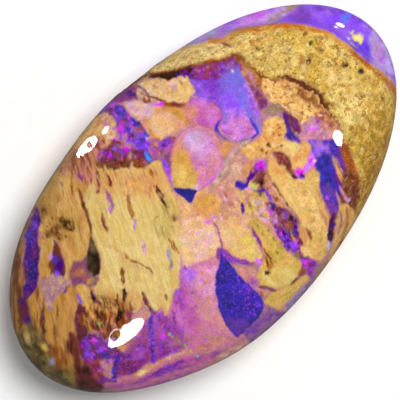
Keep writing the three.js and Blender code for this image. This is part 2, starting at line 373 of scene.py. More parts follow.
def paintUpperLeft():
    # ground between the wood and the top edge
    plumEdge = [(60, 60), (128, 84), (137, 85), (150, 95), (152, 101), (125, 103), (108, 104), (96, 116),
        (60, 110)]
    patch(plumEdge, "berry purple heather", 1.5, 5, flash=("magenta", 0.5))
    mixedOpal = [(92, 108), (113, 101), (134, 118), (142, 124), (153, 143), (151, 153), (143, 153),
        (122, 142), (116, 128), (110, 116)]
    patch(mixedOpal, "mauve violet purple orchid", 2.2, 4, ragged=1.3, flash=("iris", 0.5))
    maroonBand = [(94, 148), (108, 142), (136, 150), (146, 152), (152, 162), (146, 168), (112, 168),
        (98, 168), (90, 158)]
    patch(maroonBand, "maroon brick umber plum", 1.5, 2.4, ragged=1.4, run=85, flash=("magenta", 0.2))
    tanCorner = [(60, 90), (96, 113), (106, 113), (114, 121), (115, 134), (108, 145), (103, 142), (98, 148),
        (86, 156), (40, 130)]
    patch(tanCorner, "buff peach honey", 2, 6)
    patch([(102, 114), (110, 119), (114, 130), (112, 142), (106, 138)], "salmon shell", 2.5, 4)
    patch([(96, 136), (106, 142), (104, 152), (96, 162), (86, 166), (80, 158)], "salmon cedar brick", 2, 4)
    # opal flecks; the cream spot at (106, 130) among them is a painted highlight
    flecksAndGlint = [(102.5, 107, 3, 4.5, 0, "violetSoft"), (108.5, 110, 3.4, 5, 20, "maroon"),
        (114, 106, 3, 4, 0, "magenta"), (131, 94, 3, 4.5, 20, "grape"), (120, 112, 5.4, 7, 50, "blue"),
        (119, 121, 3, 4.5, 60, "violet"), (124, 122, 3, 4, 10, "brick"), (122, 129, 2.8, 5, 75, "magenta"),
        (127.5, 131, 2.6, 5, 80, "blue"), (134, 122, 3.8, 5.5, 50, "lapis"), (140, 127, 3, 5, 55, "ink"),
        (139, 130, 3.4, 5, 20, "clay"), (147, 134, 3, 5, 60, "lapis"), (143, 142, 4.4, 7, 15, "blue"),
        (139, 146, 3, 5, -10, "iris"), (132, 141, 2.6, 4, 20, "iris"), (133, 135, 2.6, 4, 0, "plum"),
        (126, 140, 3, 7, 45, "salmon"), (121, 145, 2.6, 5, 20, "pink"), (106, 130, 3, 4, 80, "cream"),
        (107, 122, 2, 3, 0, "pink"), (152, 147, 3, 4, 0, "violetSoft"), (146, 150, 3, 5, -20, "violet")]
    spots(flecksAndGlint, edge=1.8, ragged=1.6)
    brightFlecks = [(148, 138.5, 1.1, 1.3, 0, "white"), (114, 140, 2, 2.6, 0, "fuchsia"),
        (126, 148, 2.4, 3.6, -20, "fuchsia"), (108, 155, 4, 5.4, -30, "purple"),
        (109, 157, 2, 3, -20, "fuchsia"), (103, 153, 2, 3, 0, "violet"),
        (115, 148.5, 1.8, 2.8, 20, "violetSoft"), (121, 152, 2.4, 3, 70, "violet"),
        (116, 143, 2, 6, 10, "maroon"), (141.5, 154, 3.4, 6, 80, "plum"), (149, 158, 4, 5, 70, "ink"),
        (148.5, 157, 2.4, 4.2, 70, "sky"), (148.5, 164, 2.4, 3.4, 80, "soot"),
        (130, 157, 2.4, 6, 85, "blush"), (134, 160, 1.8, 5, 85, "mauve")]
    spots(brightFlecks, edge=1.3, ragged=1.4)
    scatter([(100, 105), (120, 108), (150, 140), (146, 150), (118, 138), (112, 118)], 80, (0.5, 1.4),
        "magenta iris violet maroon blue lilac plum", 21, strength=0.8, ragged=1.2, edge=1)
    scatter([(136, 132), (149, 134), (152, 148), (132, 146)], 26, (0.5, 1.2), "ink iris violet sky magenta",
        22, strength=0.85, ragged=1.2, edge=0.9)
    scatter([(100, 150), (126, 146), (146, 154), (146, 166), (100, 166)], 70, (0.5, 1.3),
        "rust violet maroon magenta cocoa plum walnut", 23, stretch=1.8, turn=85, strength=0.75, ragged=1.2,
        edge=0.9)
    # maroon opal under the sandstone sliver, and a dark brown band, part crust and part painted shade
    maroonOpal = [(150, 73), (175, 69), (200, 62), (232, 56), (240, 62), (236, 72), (228, 74), (222, 80),
        (206, 82), (196, 84), (186, 77), (170, 78), (160, 80), (150, 78)]
    patch(maroonOpal, "purple maroon berry", 1.5, 4, ragged=1.2, flash=("iris", 0.5))
    crustAndShade = [(146, 75), (160, 70), (174, 68), (192, 67), (188, 74), (174, 77), (168, 82), (154, 77)]
    patch(crustAndShade, "soot cocoa", 1.2, 5, sink=0.03, dull=0.8)
    scatter([(172, 72), (190, 70), (196, 78), (188, 82)], 14, (0.9, 1.8), "grape lapis purple", 31)
    patch([(198, 68), (212, 64), (216, 70), (206, 76)], "brick berry", 3, 3, strength=0.6)
    spot(224, 69, 3, "iris purple", 5, -30, 2.5)
    spot(229, 65, 3, "clay mauve", 5, -30, 2)
    scatter([(190, 78), (198, 68), (226, 61), (230, 68), (214, 79)], 46, (0.6, 1.3),
        "iris plum magenta purple blush maroon", 32, strength=0.7)


def paintVioletFields():
    violetField = [(188, 80), (212, 80), (230, 80), (228, 100), (222, 112), (206, 101), (191, 94),
        (195, 88)]
    patch(violetField, "violet violetSoft violet", 2, 8, flash=("iris", 0.5))
    blueGreyField = [(220, 80), (237, 68), (244, 76), (255, 105), (257, 132), (248, 120), (238, 114),
        (221, 116), (222, 100)]
    patch(blueGreyField, "slate violetSoft slate", 4.5, 10, flash=("iris", 0.35))
    spot(237, 84, 9, "slate slate", 16, 78, 6, 0.8)
    stroke([(222, 92), (228, 104), (234, 110)], 10, "violetSoft iris", 4, strength=0.8)
    stroke([(228, 110), (236, 106), (242, 98)], 6, "iris", 3, strength=0.8)
    stroke([(246, 80), (259, 118)], 5.5, "orchid violetSoft lilac", 2.2)
    spot(232, 96, 5, "violetSoft iris", 12, 70, 5, 0.55)
    spot(243, 102, 4, "sky slate", 9, 70, 4, 0.4)
    scatter([(244, 76), (259, 106), (260, 126), (252, 112)], 50, (0.5, 1.1), "magenta lilac iris plum sky",
        47, strength=0.7, ragged=1.2)
    scatter([(190, 82), (225, 80), (246, 90), (256, 118), (210, 104)], 60, (0.6, 1.3),
        "magenta lilac iris slate purple", 33, strength=0.55)
    spot(233, 71, 1.6, "shell")
    spot(258, 130, 3, "sky slate", 5, 70, 2.5, 0.6)
    spot(230, 119, 3, "sky slate", edge=2.5, strength=0.5)


def paintUpperMiddle():
    # orange-brown and peach lobe, its top left clouded with lavender
    peachLobe = [(124, 105), (130, 101), (142, 99), (156, 101), (168, 106), (180, 114), (191, 122),
        (184, 128), (167, 137), (159, 141), (152, 139), (138, 121), (130, 114)]
    patch(peachLobe, "peach apricot peach", 0.9, 9, flash=("lilac", 0.5), rim=("mauve", 2.4, 0.6))
    lavenderCloud = [(126, 105), (136, 101), (148, 103), (152, 112), (144, 118), (134, 115)]
    patch(lavenderCloud, "petal mist shell", 4, 5, strength=0.85, flash=("magenta", 0.35))
    patch([(150, 118), (164, 118), (172, 126), (164, 134), (154, 132)], "peach shell", 5, strength=0.7)
    patch([(150, 130), (156, 136), (162, 139), (156, 142), (150, 138)], "brick apricot", 1.8)
    patch([(162, 101), (188, 103), (190, 123), (172, 113), (163, 109)], "ochre oak apricot", 2.2, 6)
    patch([(164, 101), (176, 101), (188, 104), (184, 109), (166, 105)], "rust umber", 1.8, 4)
    spot(159, 103, 3.4, "fuchsia magenta", 5, 8, 1.6)
    spot(153, 105, 2.4, "lilac", edge=1.6)
    # first pink nodule
    firstNodule = [(186, 103), (194, 98), (206, 100), (215, 104), (221, 111), (222, 121), (218, 128),
        (210, 131), (202, 127), (189, 121)]
    patch(firstNodule, "pink rose orchid", 0.9, 8, flash=("magenta", 0.45), rim=("berry", 2, 0.5))
    spot(212, 118, 6, "lilac pink", 9, 60, 4, 0.7)
    spot(191, 112, 7, "apricot salmon", 9, 70, 6, 0.85)
    spot(200, 102, 4, "lilac", 8, 10, 3, 0.6)
    # second pink nodule and the blue edge that holds it
    stroke([(222, 118), (217.5, 124), (216.5, 130), (220, 136), (226, 140), (231, 141)], 3.6, "lapis blue",
        1)
    stroke([(250, 118), (254, 125), (257, 131), (254, 136), (240, 142)], 3.6, "lapis blue", 1)
    secondNodule = [(221, 124), (228, 118), (238, 115), (247, 118), (253, 127), (255, 133), (250, 137),
        (244, 138), (237, 140), (223, 132)]
    patch(secondNodule, "lilac orchid pink", flash=("lilac", 0.5))
    spot(238, 127, 6, "lilac petal", 8, 0, 5, 0.6)
    spot(236, 114, 5, "violetSoft lilac", 10, 5, 4.5, 0.85, ragged=1.2)
    spot(227, 119, 3.4, "iris slate", 5, -40, 3, 0.7)
    scatter([(226, 114), (246, 112), (254, 124), (250, 136), (230, 138), (222, 128)], 36, (0.4, 0.9),
        "lilac magenta violetSoft petal mist", 46, strength=0.7, edge=0.9)
    patch([(216, 132), (222, 138), (240, 146), (234, 154), (226, 150)], "apricot blush mauve", 2.5, 4)


def paintBall():
    # the left surround: mauve pieces and a violet seam
    leftSurround = [(152, 140), (162, 139), (172, 136), (177, 138), (173, 150), (172, 166), (174, 184),
        (166, 180), (161, 165), (154, 162), (151, 152)]
    patch(leftSurround, "mauve brick orchid", 1.5, 4, flash=("magenta", 0.5))
    patch([(158, 152), (166, 150), (172, 158), (172, 176), (166, 172)], "heather cedar", 2, 4)
    spot(156, 145, 3, "apricot brick", edge=2)
    spot(165, 143, 4, "grape violet", 7, -30, 2)
    stroke([(162, 158), (173, 184)], 5, "violet magenta iris", 1.6, 3)
    ball = [(173, 146), (178, 136), (187, 128.5), (196, 125), (206, 126.5), (215, 132), (224, 152),
        (217, 175), (203, 189), (190, 190), (177, 190), (173, 180), (171, 168)]
    patch(ball, "salmon pink salmon", 0.9, 10, ragged=0.3, flash=("lilac", 0.5), rim=("berry", 2.2, 0.55))
    roseShade = [(176, 146), (180, 138), (188, 131), (198, 128), (208, 130), (214, 137), (206, 140),
        (194, 136), (180, 150)]
    patch(roseShade, "pink mauve", 2.5, 5, strength=0.7)
    spot(197, 144, 9, "mist petal", 12, 50, 8, 0.9)
    spot(192, 139, 4, "haze mist", 7, -40, 4, 0.7)
    spot(209, 150, 6, "petal lilac", 10, 80, 6, 0.8)
    spot(215, 161, 6, "apricot salmon", 9, -70, 5, 0.85)
    spot(178, 148, 4, "apricot", 9, -65, 3.5, 0.8)
    spot(208, 174, 6, "rose salmon", 8, -60, 5, 0.8)
    stroke([(222, 158), (218, 171), (212, 180), (204, 187)], 3, "pink lilac magenta", 1.6, 3, strength=0.75)
    scatter([(200, 165), (212, 150), (221, 156), (204, 186)], 34, (0.5, 1.1),
        "magenta lilac petal violetSoft", 45, strength=0.65, edge=0.9)
    ochreHeart = [(172, 160), (178, 152), (185, 151), (190, 160), (200, 180), (197, 189), (175, 190),
        (172, 178)]
    patch(ochreHeart, "ochre gold", 2.6, 16, ragged=1)
    spot(180, 158, 6, "ochre apricot", 8, -60, 6, 0.6)
    stroke([(198, 178), (200, 184), (197, 189)], 2.4, "magenta lilac", 1.2, strength=0.7)
    spot(196, 187, 2, "mist")
    # pale veil between the ball and the tan cross
    veil = [(224, 150), (230, 150), (238, 144), (246, 141), (244, 150), (240, 168), (238, 180), (226, 185),
        (212, 186), (218, 178), (223, 166)]
    patch(veil, "blush salmon dove", 1.6)
    patch([(232, 168), (240, 162), (240, 182), (230, 186)], "shell blush", 2.5, strength=0.8)
    stroke([(249, 140), (238, 150), (213, 186)], 4.2, "dove shell", 2.2, strength=0.6, taper=False)
    stroke([(244, 150), (236, 162), (229, 176), (222, 186)], 2.2, "shell blush", 1.6, strength=0.5,
        taper=False)
    patch([(226, 141), (234, 143), (225, 157), (222, 148)], "apricot blush", 3)
    stroke([(240, 145), (230, 157), (212, 184)], 1.6, "mist haze", 1.4, strength=0.45)


def paintTopMiddle():
    # maroon and grey between the violet field and the crumbly fragment
    maroonGround = [(238, 64), (246, 66), (254, 76), (270, 98), (284, 108), (296, 120), (290, 122),
        (282, 116), (270, 112), (262, 113), (256, 100), (243, 76)]
    patch(maroonGround, "berry dove maroon blush", 1.5, 5)
    patch([(240, 60), (248, 64), (258, 76), (264, 84), (256, 88), (246, 76)], "ochre clay rust", 1.6, 3.5,
        kind="crumb", ragged=1.2)
    patch([(254, 90), (262, 92), (268, 102), (266, 110), (260, 110)], "heather clay plum", 2, 4, ragged=1.3,
        flash=("magenta", 0.15))
    patch([(262, 114), (268, 106), (276, 103), (284, 110), (284, 118)], "dove olive mauve", 2, 5)
    stroke([(246, 68), (252, 78), (256, 88)], 3, "lilac mauve", 1.5, strength=0.7)
    # mauve and lavender opal under the crevice
    mauveOpal = [(284, 112), (292, 113), (300, 121), (310, 119), (316, 114), (328, 118), (337, 127),
        (336, 138), (330, 146), (320, 148), (310, 143), (298, 142), (291, 138), (286, 128)]
    patch(mauveOpal, "mauve berry blush", 2, 5, ragged=1.5, flash=("lilac", 0.6))
    pinkCloud = [(298, 131), (310, 123), (322, 130), (332, 133), (330, 141), (318, 146), (304, 141)]
    patch(pinkCloud, "petal mauve salmon", 4.5, 4, ragged=1.6, strength=0.75)
    stroke([(318, 112), (332, 127)], 4, "maroon brick", 1.6, ragged=1.3, strength=0.8)
    patch([(284, 114), (292, 114), (299, 123), (300, 133), (294, 132)], "plum maroon heather", 2.2, 4)
    spot(313, 128, 3, "lilac magenta", 5, -15, 2)
    spot(324, 126, 3, "blush honey", 5, 30, 2)
    stroke([(316, 114), (318, 122), (326, 130)], 3, "berry brick", 1.5)
    scatter([(290, 116), (316, 116), (336, 128), (330, 144), (300, 140)], 40, (0.6, 1.4),
        "lilac plum violet shell mist maroon", 34, strength=0.6)


def paintBlueStrip():
    blueStrip = [(309, 140), (320, 140), (332, 140), (340, 146), (348, 175), (349, 190), (338, 212),
        (336, 225), (331, 238), (328, 236), (327, 222), (326, 208), (320, 195), (319, 178), (312, 160),
        (310, 148)]
    patch(blueStrip, "lapis blue grape lapis", 1, 3.5, flash=("iris", 0.4))
    patch([(310, 141), (322, 142), (330, 148), (328, 157), (316, 156)], "violetSoft iris mauve", 3, 4,
        ragged=1.4, flash=("lilac", 0.6))
    patch([(319, 156), (330, 156), (333, 190), (326, 195), (321, 180)], "blue lapis ink", 3, 4)
    patch([(321, 188), (328, 184), (334, 190), (334, 206), (328, 212)], "heather violet blue", 3, 3,
        ragged=1.5, flash=("lilac", 0.3), strength=0.7)
    stroke([(339, 148), (347, 178)], 6, "violet ink plum", 1.4, 3, flash=("iris", 0.4), kind="opal")
    stroke([(342, 143), (346, 152), (356, 183), (358, 194)], 9.5, "rust umber rust", 1.4, 3, kind="crumb",
        run=68)
    maroonFlake = [(349, 172), (355, 177), (360, 190), (359, 201), (351, 197), (348, 184)]
    patch(maroonFlake, "maroon cocoa umber", 1.6, 3, ragged=1.4)
    stroke([(333, 156), (339, 174), (345, 184), (350, 194)], 4, "honey tan ochre", 0.9)
    stroke([(336, 158), (348, 186)], 2, "amber rust", 0.8)
    rustPiece = [(344, 172), (352, 172), (359, 186), (358, 202), (352, 222), (344, 226), (338, 222),
        (337, 206), (341, 192)]
    patch(rustPiece, "umber cocoa bronze maroon", 1.6, 3, kind="crumb", run=70)
    stroke([(335, 174), (346, 200)], 4, "purple plum", 1.2)
    stroke([(339, 186), (348, 203)], 3.4, "pink blush", 1)
    stroke([(336, 192), (342, 212)], 3, "blush mauve", 1)
    spot(327.5, 198, 1.8, "magenta", edge=1)
    spot(349, 200, 1.6, "lavender", edge=1)
    patch([(326, 204), (336, 206), (337, 220), (333, 230), (327, 228)], "heather violet plum", 2, 4)
    tanTail = [(340, 206), (350, 206), (358, 222), (352, 250), (340, 270), (330, 276), (320, 268),
        (329, 254), (337, 222)]
    patch(tanTail, "gold tan amber", 1.6, 5, kind="wood", run=110)
    stroke([(347, 208), (347, 222), (341, 242), (334, 256)], 2.6, "brick oak", 1.2)
    stroke([(340, 210), (341, 222), (337, 236)], 2, "mauve brick", 1)


def paintSandstone():
    band = [(232, 52), (240, 53), (246, 62), (254, 71), (264, 78), (280, 79), (290, 80), (300, 82),
        (309, 86), (318, 92), (325, 101), (329, 109), (333, 117), (339, 125), (343, 136), (347, 150),
        (352, 166), (358, 182), (361, 196), (356, 212), (400, 240), (480, 160), (480, 40), (397, 88),
        (385, 77), (368, 65), (350, 49), (335, 38), (310, 29), (285, 26), (262, 28), (242, 31), (230, 40)]
    patch(band, "sand wheat mustard sand", 0.8, 6, kind="sand")
    paleMiddle = [(240, 50), (262, 44), (300, 44), (312, 58), (306, 72), (290, 78), (254, 68)]
    patch(paleMiddle, "wheat sand wheat", 7, 9, kind="sand", strength=0.8)
    patch([(330, 108), (345, 98), (362, 100), (366, 120), (352, 132)], "wheat cream", 7, 9, kind="sand",
        strength=0.65)
    patch([(228, 36), (258, 31), (268, 36), (262, 46), (246, 50), (234, 48)], "buff wheat ochre", 5, 4,
        kind="sand", strength=0.8)
    patch([(376, 128), (388, 122), (384, 150), (368, 178), (358, 190), (356, 176)], "tobacco brass", 6, 5,
        kind="sand", strength=0.7)
    patch([(322, 62), (344, 62), (358, 78), (352, 92), (334, 92)], "wheat sand cream", 7, 5, kind="sand",
        strength=0.7)
    shadedSide = [(350, 128), (368, 118), (388, 96), (410, 110), (392, 180), (362, 220), (350, 160)]
    patch(shadedSide, "mustard sand brass", 9, 6, kind="sand")
    brownEdge = [(390, 90), (399, 96), (398, 120), (380, 136), (358, 184), (352, 232), (480, 240),
        (480, 60)]
    patch(brownEdge, "brass tobacco mustard", 8, 6, kind="sand", strength=0.9)
    # the thin sliver of sandstone on the upper left
    sliver = [(60, 60), (138, 79), (150, 73), (162, 70), (176, 68), (190, 64), (222, 59), (232, 54),
        (234, 48), (222, 44), (210, 42), (182, 48), (168, 55), (152, 64), (100, 30)]
    patch(sliver, "cream wheat buff", 1.2, 5, kind="sand")
    # dark lines along its lower edge: partly ironstone, partly painted shade under its step
    stroke([(120, 92), (142, 76), (154, 72)], 5, "cocoa umber", 2)
    stroke([(150, 73), (176, 68.5), (206, 61.5), (222, 59.5), (232, 55), (241, 53)], 4.2,
        "umber cocoa rust", 1, sink=0.05)
    groove([(120, 92), (142, 76), (162, 71), (190, 65), (222, 59.5), (241, 53)], 5, 0.12)
    stroke([(218, 41), (232, 47)], 3, "umber heather", 1)
    scatter([(150, 66), (210, 46), (228, 48), (222, 56)], 26, (0.7, 1.5), "mustard wheat walnut", 41,
        strength=0.7)
    # the line where it meets the opal, then the bold dark crevice: partly ironstone, partly painted shade
    bold = [(276, 77), (283, 76), (290, 79.5), (300, 82), (309, 86), (318, 92), (324, 100), (329, 108),
        (333, 116), (339, 125)]
    first = [(235, 53), (243, 61), (254, 71), (264, 78.5), (278, 79.5)]
    stroke(first, 6.5, "rust mustard walnut", 2.2, ragged=1.3)
    stroke(first, 2.8, "walnut umber", 1.2, ragged=1.6, taper=False, strength=0.85)
    groove(first, 4, 0.1)
    # below the crevice: partly crumbly rust, partly painted shade
    stroke([(x - 2.5, y + 4) for x, y in bold], 8, "rust oak umber", 2.4, 2.6, kind="crumb", ragged=2.4,
        strength=0.85)
    stroke(bold, 15, None, 2, dull=1)
    stroke(bold, 4.6, "cocoa soot umber", 1.2, 3, kind="opal", ragged=2, dull=1)
    stroke(bold[4:], 3, "soot cocoa", 0.9, kind="opal", ragged=1.6, dull=1)
    groove(bold, 6, 0.24)
    # keeps the polish from catching light by the shelf
    stroke([(300, 33), (318, 38), (338, 50)], 15, None, 3, dull=1)
    stroke([(339, 125), (350, 160), (357, 178)], 2.6, "rust umber", 1)
    # orange rim along the break
    stroke([(210, 41), (228, 39), (240, 31), (262, 28), (285, 26), (310, 28.5), (335, 38), (368, 65),
        (385, 77), (396, 92), (399, 104)], 5.4, "copper copper ochre", 1.6, 9, taper=False)
    stroke([(352, 52), (384, 79), (395, 93), (398, 106)], 4.4, "bronze copper tobacco", 2, 5, taper=False,
        strength=0.8)
    scatter(band[:18] + [(385, 120), (392, 96), (368, 72), (335, 44), (285, 32), (240, 40)], 150,
        (0.7, 1.5), "walnut moss tobacco copper cream rust", 42, strength=0.75, ragged=1.3, edge=0.9)
    pits = [(361, 71, 2.6), (309, 61, 2.6), (345, 65, 2.4), (311, 43, 1.9), (305, 34, 1.8), (257, 48, 1.6),
        (290, 50, 1.4), (323, 50, 1.6), (383, 99, 1.8)]
    for x, y, size in pits:
        spot(x, y, size, "moss soot", size * 1.4, x, 0.9, sink=0.05)
    # painted highlights: small pale spots where tiny glints of light catch the sandstone
    paintedSandGlints = [(355, 106, 2), (349, 120, 2.2), (356, 92, 1.4), (351, 122, 1.8)]
    for x, y, size in paintedSandGlints:
        spot(x, y, size * 0.8, "cream", size * 1.4, -30, 0.9, 0.8, ragged=1.6)


def paintShelf():
    # the lower, smooth shelf of opal beyond the sandstone
    outer = [(110, 70), (140, 68), (165, 56), (190, 47), (215, 40), (235, 30), (262, 26.5), (285, 24.5),
        (310, 27), (335, 36.5), (350, 48), (369, 64), (386, 76), (398, 90), (480, 60), (440, -60),
        (260, -90), (120, -40)]
    patch(outer, "haze lavender haze", 1.5, 14)
    patch([(216, 42), (232, 28), (262, 27), (276, 26), (290, -80), (240, -60)], "violetSoft lavender lilac",
        5, 12)
    patch([(236, 20), (250, 16), (268, 12), (275, -60), (240, -60)], "magenta lavender", 4, 10,
        strength=0.7)
    violetShelf = [(270, 26), (284, 16), (300, 4), (310, -70), (430, -40), (372, 30), (372, 62), (335, 37),
        (310, 28), (285, 25)]
    patch(violetShelf, "violet iris violetSoft iris", 3, 12, flash=("iris", 0.3))
    spot(300, 14, 7, "violet heather", 12, 20, 5, 0.8)
    spot(345, 18, 4, "sky", edge=3.5, strength=0.85)
    patch([(345, 40), (356, 42), (368, 44), (371, 58), (366, 62)], "blue iris", 4, 8)
    lavenderEnd = [(366, 22), (374, 30), (376, 50), (374, 66), (398, 92), (480, 70), (440, -20)]
    patch(lavenderEnd, "lavender haze violetSoft", 5, 9)
    spot(378, 52, 6, "mauve blush", 12, 75, 6, 0.5)
    shelfGlints = [(358, 38.5, 3.4, 6, 35, "yellow"), (358, 38.5, 2.2, 4.4, 35, "lemon"),
        (349.5, 38.5, 1.8, 2.2, 0, "white"), (352, 34, 1, 2.4, 30, "cream")]
    spots(shelfGlints, edge=0.9, ragged=1.4)
    stroke([(268, 26), (272, 20), (300, 0)], 7, "dove mist olive", 2.2, strength=0.75)
    stroke([(284, 12), (304, 1)], 5, "dove underTan", 2, strength=0.8)


def paintTanFragments():
    # crumbly orange fragment beside the crevice
    crumbly = [(261, 80), (272, 81), (284, 80), (296, 84), (306, 88), (314, 92), (321, 99), (327, 108),
        (331, 116), (322, 112), (315, 112), (310, 118), (303, 122), (297, 120), (292, 112), (282, 105),
        (273, 100), (266, 92)]
    patch(crumbly, "buff tan buff honey", 1, 3, kind="crumb", ragged=1.6, dull=0.3)
    # rust-brown below the crevice: partly rust, partly painted shade
    patch([(284, 83), (310, 93), (328, 113), (294, 93)], "rust umber umber", 2.4, 2.6, kind="crumb",
        ragged=2, strength=0.9)
    spot(302, 92, 5, "brick umber", 9, 25, 3, 0.75, ragged=1.8)
    patch([(293, 108), (306, 104), (312, 112), (305, 121), (298, 119)], "tan buff honey", 1.5, 4,
        kind="sand")
    scatter(crumbly, 90, (0.5, 1.3), "umber walnut rust cocoa", 51, strength=0.8, sink=0.03, ragged=1.1,
        edge=0.9)
    scatter(crumbly, 40, (1.2, 2.4), "buff tan gold", 54, strength=0.6, ragged=1, edge=1.4)
    roseTip = [(314, 112), (326, 110), (334, 118), (338, 128), (334, 134), (326, 122), (318, 118)]
    patch(roseTip, "honey blush brick", 2, 4)
    # the tan cross
    cross = [(258, 139), (262, 130), (264, 121), (271, 117), (279, 118), (284, 123), (286, 131), (285, 139),
        (301, 140), (308, 142), (310, 150), (304, 169), (292, 169), (290, 160), (285, 155), (273, 151),
        (271, 156), (266, 158), (258, 158), (251, 160), (241, 151), (252, 141)]
    patch(cross, "tan buff honey", 0.8, 5, kind="crumb", ragged=1.3, rim=("oak", 1.6, 0.45))
    patch([(284, 142), (296, 142), (302, 146), (298, 152), (288, 152), (282, 148)], "buff wheat", 2, 4,
        kind="wood")
    scatter([(262, 122), (280, 120), (284, 142), (300, 145), (296, 155), (248, 156), (256, 142)], 44,
        (0.6, 1.1), "honey rust oak buff", 52, strength=0.7)
    pits = [(268, 144, 2.2), (262, 150, 1.5), (267, 153, 1.4), (279, 127, 1.1), (278, 124, 0.9),
        (274, 134, 0.9), (279, 135, 1), (282, 146, 1.2), (270, 146, 1.2)]
    for x, y, size in pits:
        spot(x, y, size, "maroon umber", edge=0.8, sink=0.06)
    roseGap = [(274, 151), (287, 155), (291, 162), (292, 170), (295, 175), (292, 178), (287, 171),
        (285, 165), (279, 164)]
    patch(roseGap, "clay brick maroon", 0.9, 3)
    stroke([(285, 160), (287, 168), (292, 175), (296, 178)], 4.4, "maroon soot brick", 0.9)
    # the long tan fragment
    longFragment = [(272, 156), (280, 165), (285, 166), (288, 173), (294, 179), (304, 177), (310, 172),
        (317, 170), (320, 178), (320, 192), (328.5, 222), (326.5, 250), (321, 259), (314, 261), (305, 256),
        (300, 248), (299, 238), (301, 228), (298, 216), (278, 192), (270, 179), (266, 168), (269, 160)]
    patch(longFragment, "tan buff gold", 0.8, kind="crumb", rim=("oak", 1.6, 0.5))
    patch([(276, 186), (290, 192), (300, 210), (298, 216), (276, 194)], "buff gold", 3, 5, kind="wood",
        run=60)
    patch([(316, 186), (328, 214), (327, 228), (320, 212)], "amber cedar tan", 2.6, 4, kind="wood", run=70)
    patch([(272, 158), (280, 166), (286, 176), (282, 186), (269, 166)], "honey tan", 2.6, 4, kind="crumb",
        strength=0.8)
    patch([(300, 226), (308, 232), (306, 246), (300, 244)], "blush honey", 2, 4, kind="wood")
    stroke([(306, 228), (310, 234), (311, 241)], 3, "brick umber", 0.9, sink=0.03)
    stroke([(266, 166), (270, 178), (288, 205), (297, 216), (299, 230)], 2.6, "brick umber blush", 0.9,
        ragged=1)
    scatter([(276, 182), (316, 190), (322, 250), (306, 248), (304, 220)], 40, (0.6, 1),
        "honey gold buff oak", 53, stretch=2, turn=66, strength=0.6)
    # dark slit along its right side
    stroke([(333, 214), (331, 236), (329, 242)], 6.4, "maroon soot grape", 1, 3, kind="opal", sink=0.05)
    stroke([(329, 241), (328, 250)], 2.4, "haze white", 0.9)
    # magenta opal at its head
    patch([(308, 158), (311, 151), (315, 158), (315, 166), (303, 172)], "magenta lilac", 1.4, 4)
    spot(299.5, 172, 3.8, "fuchsia")
    spot(302, 177, 3, "iris grape", 3.6, -40, 1)
    spot(296, 178, 2, "grape soot", edge=0.9)
    spot(314.5, 161, 1.3, "white", edge=1)


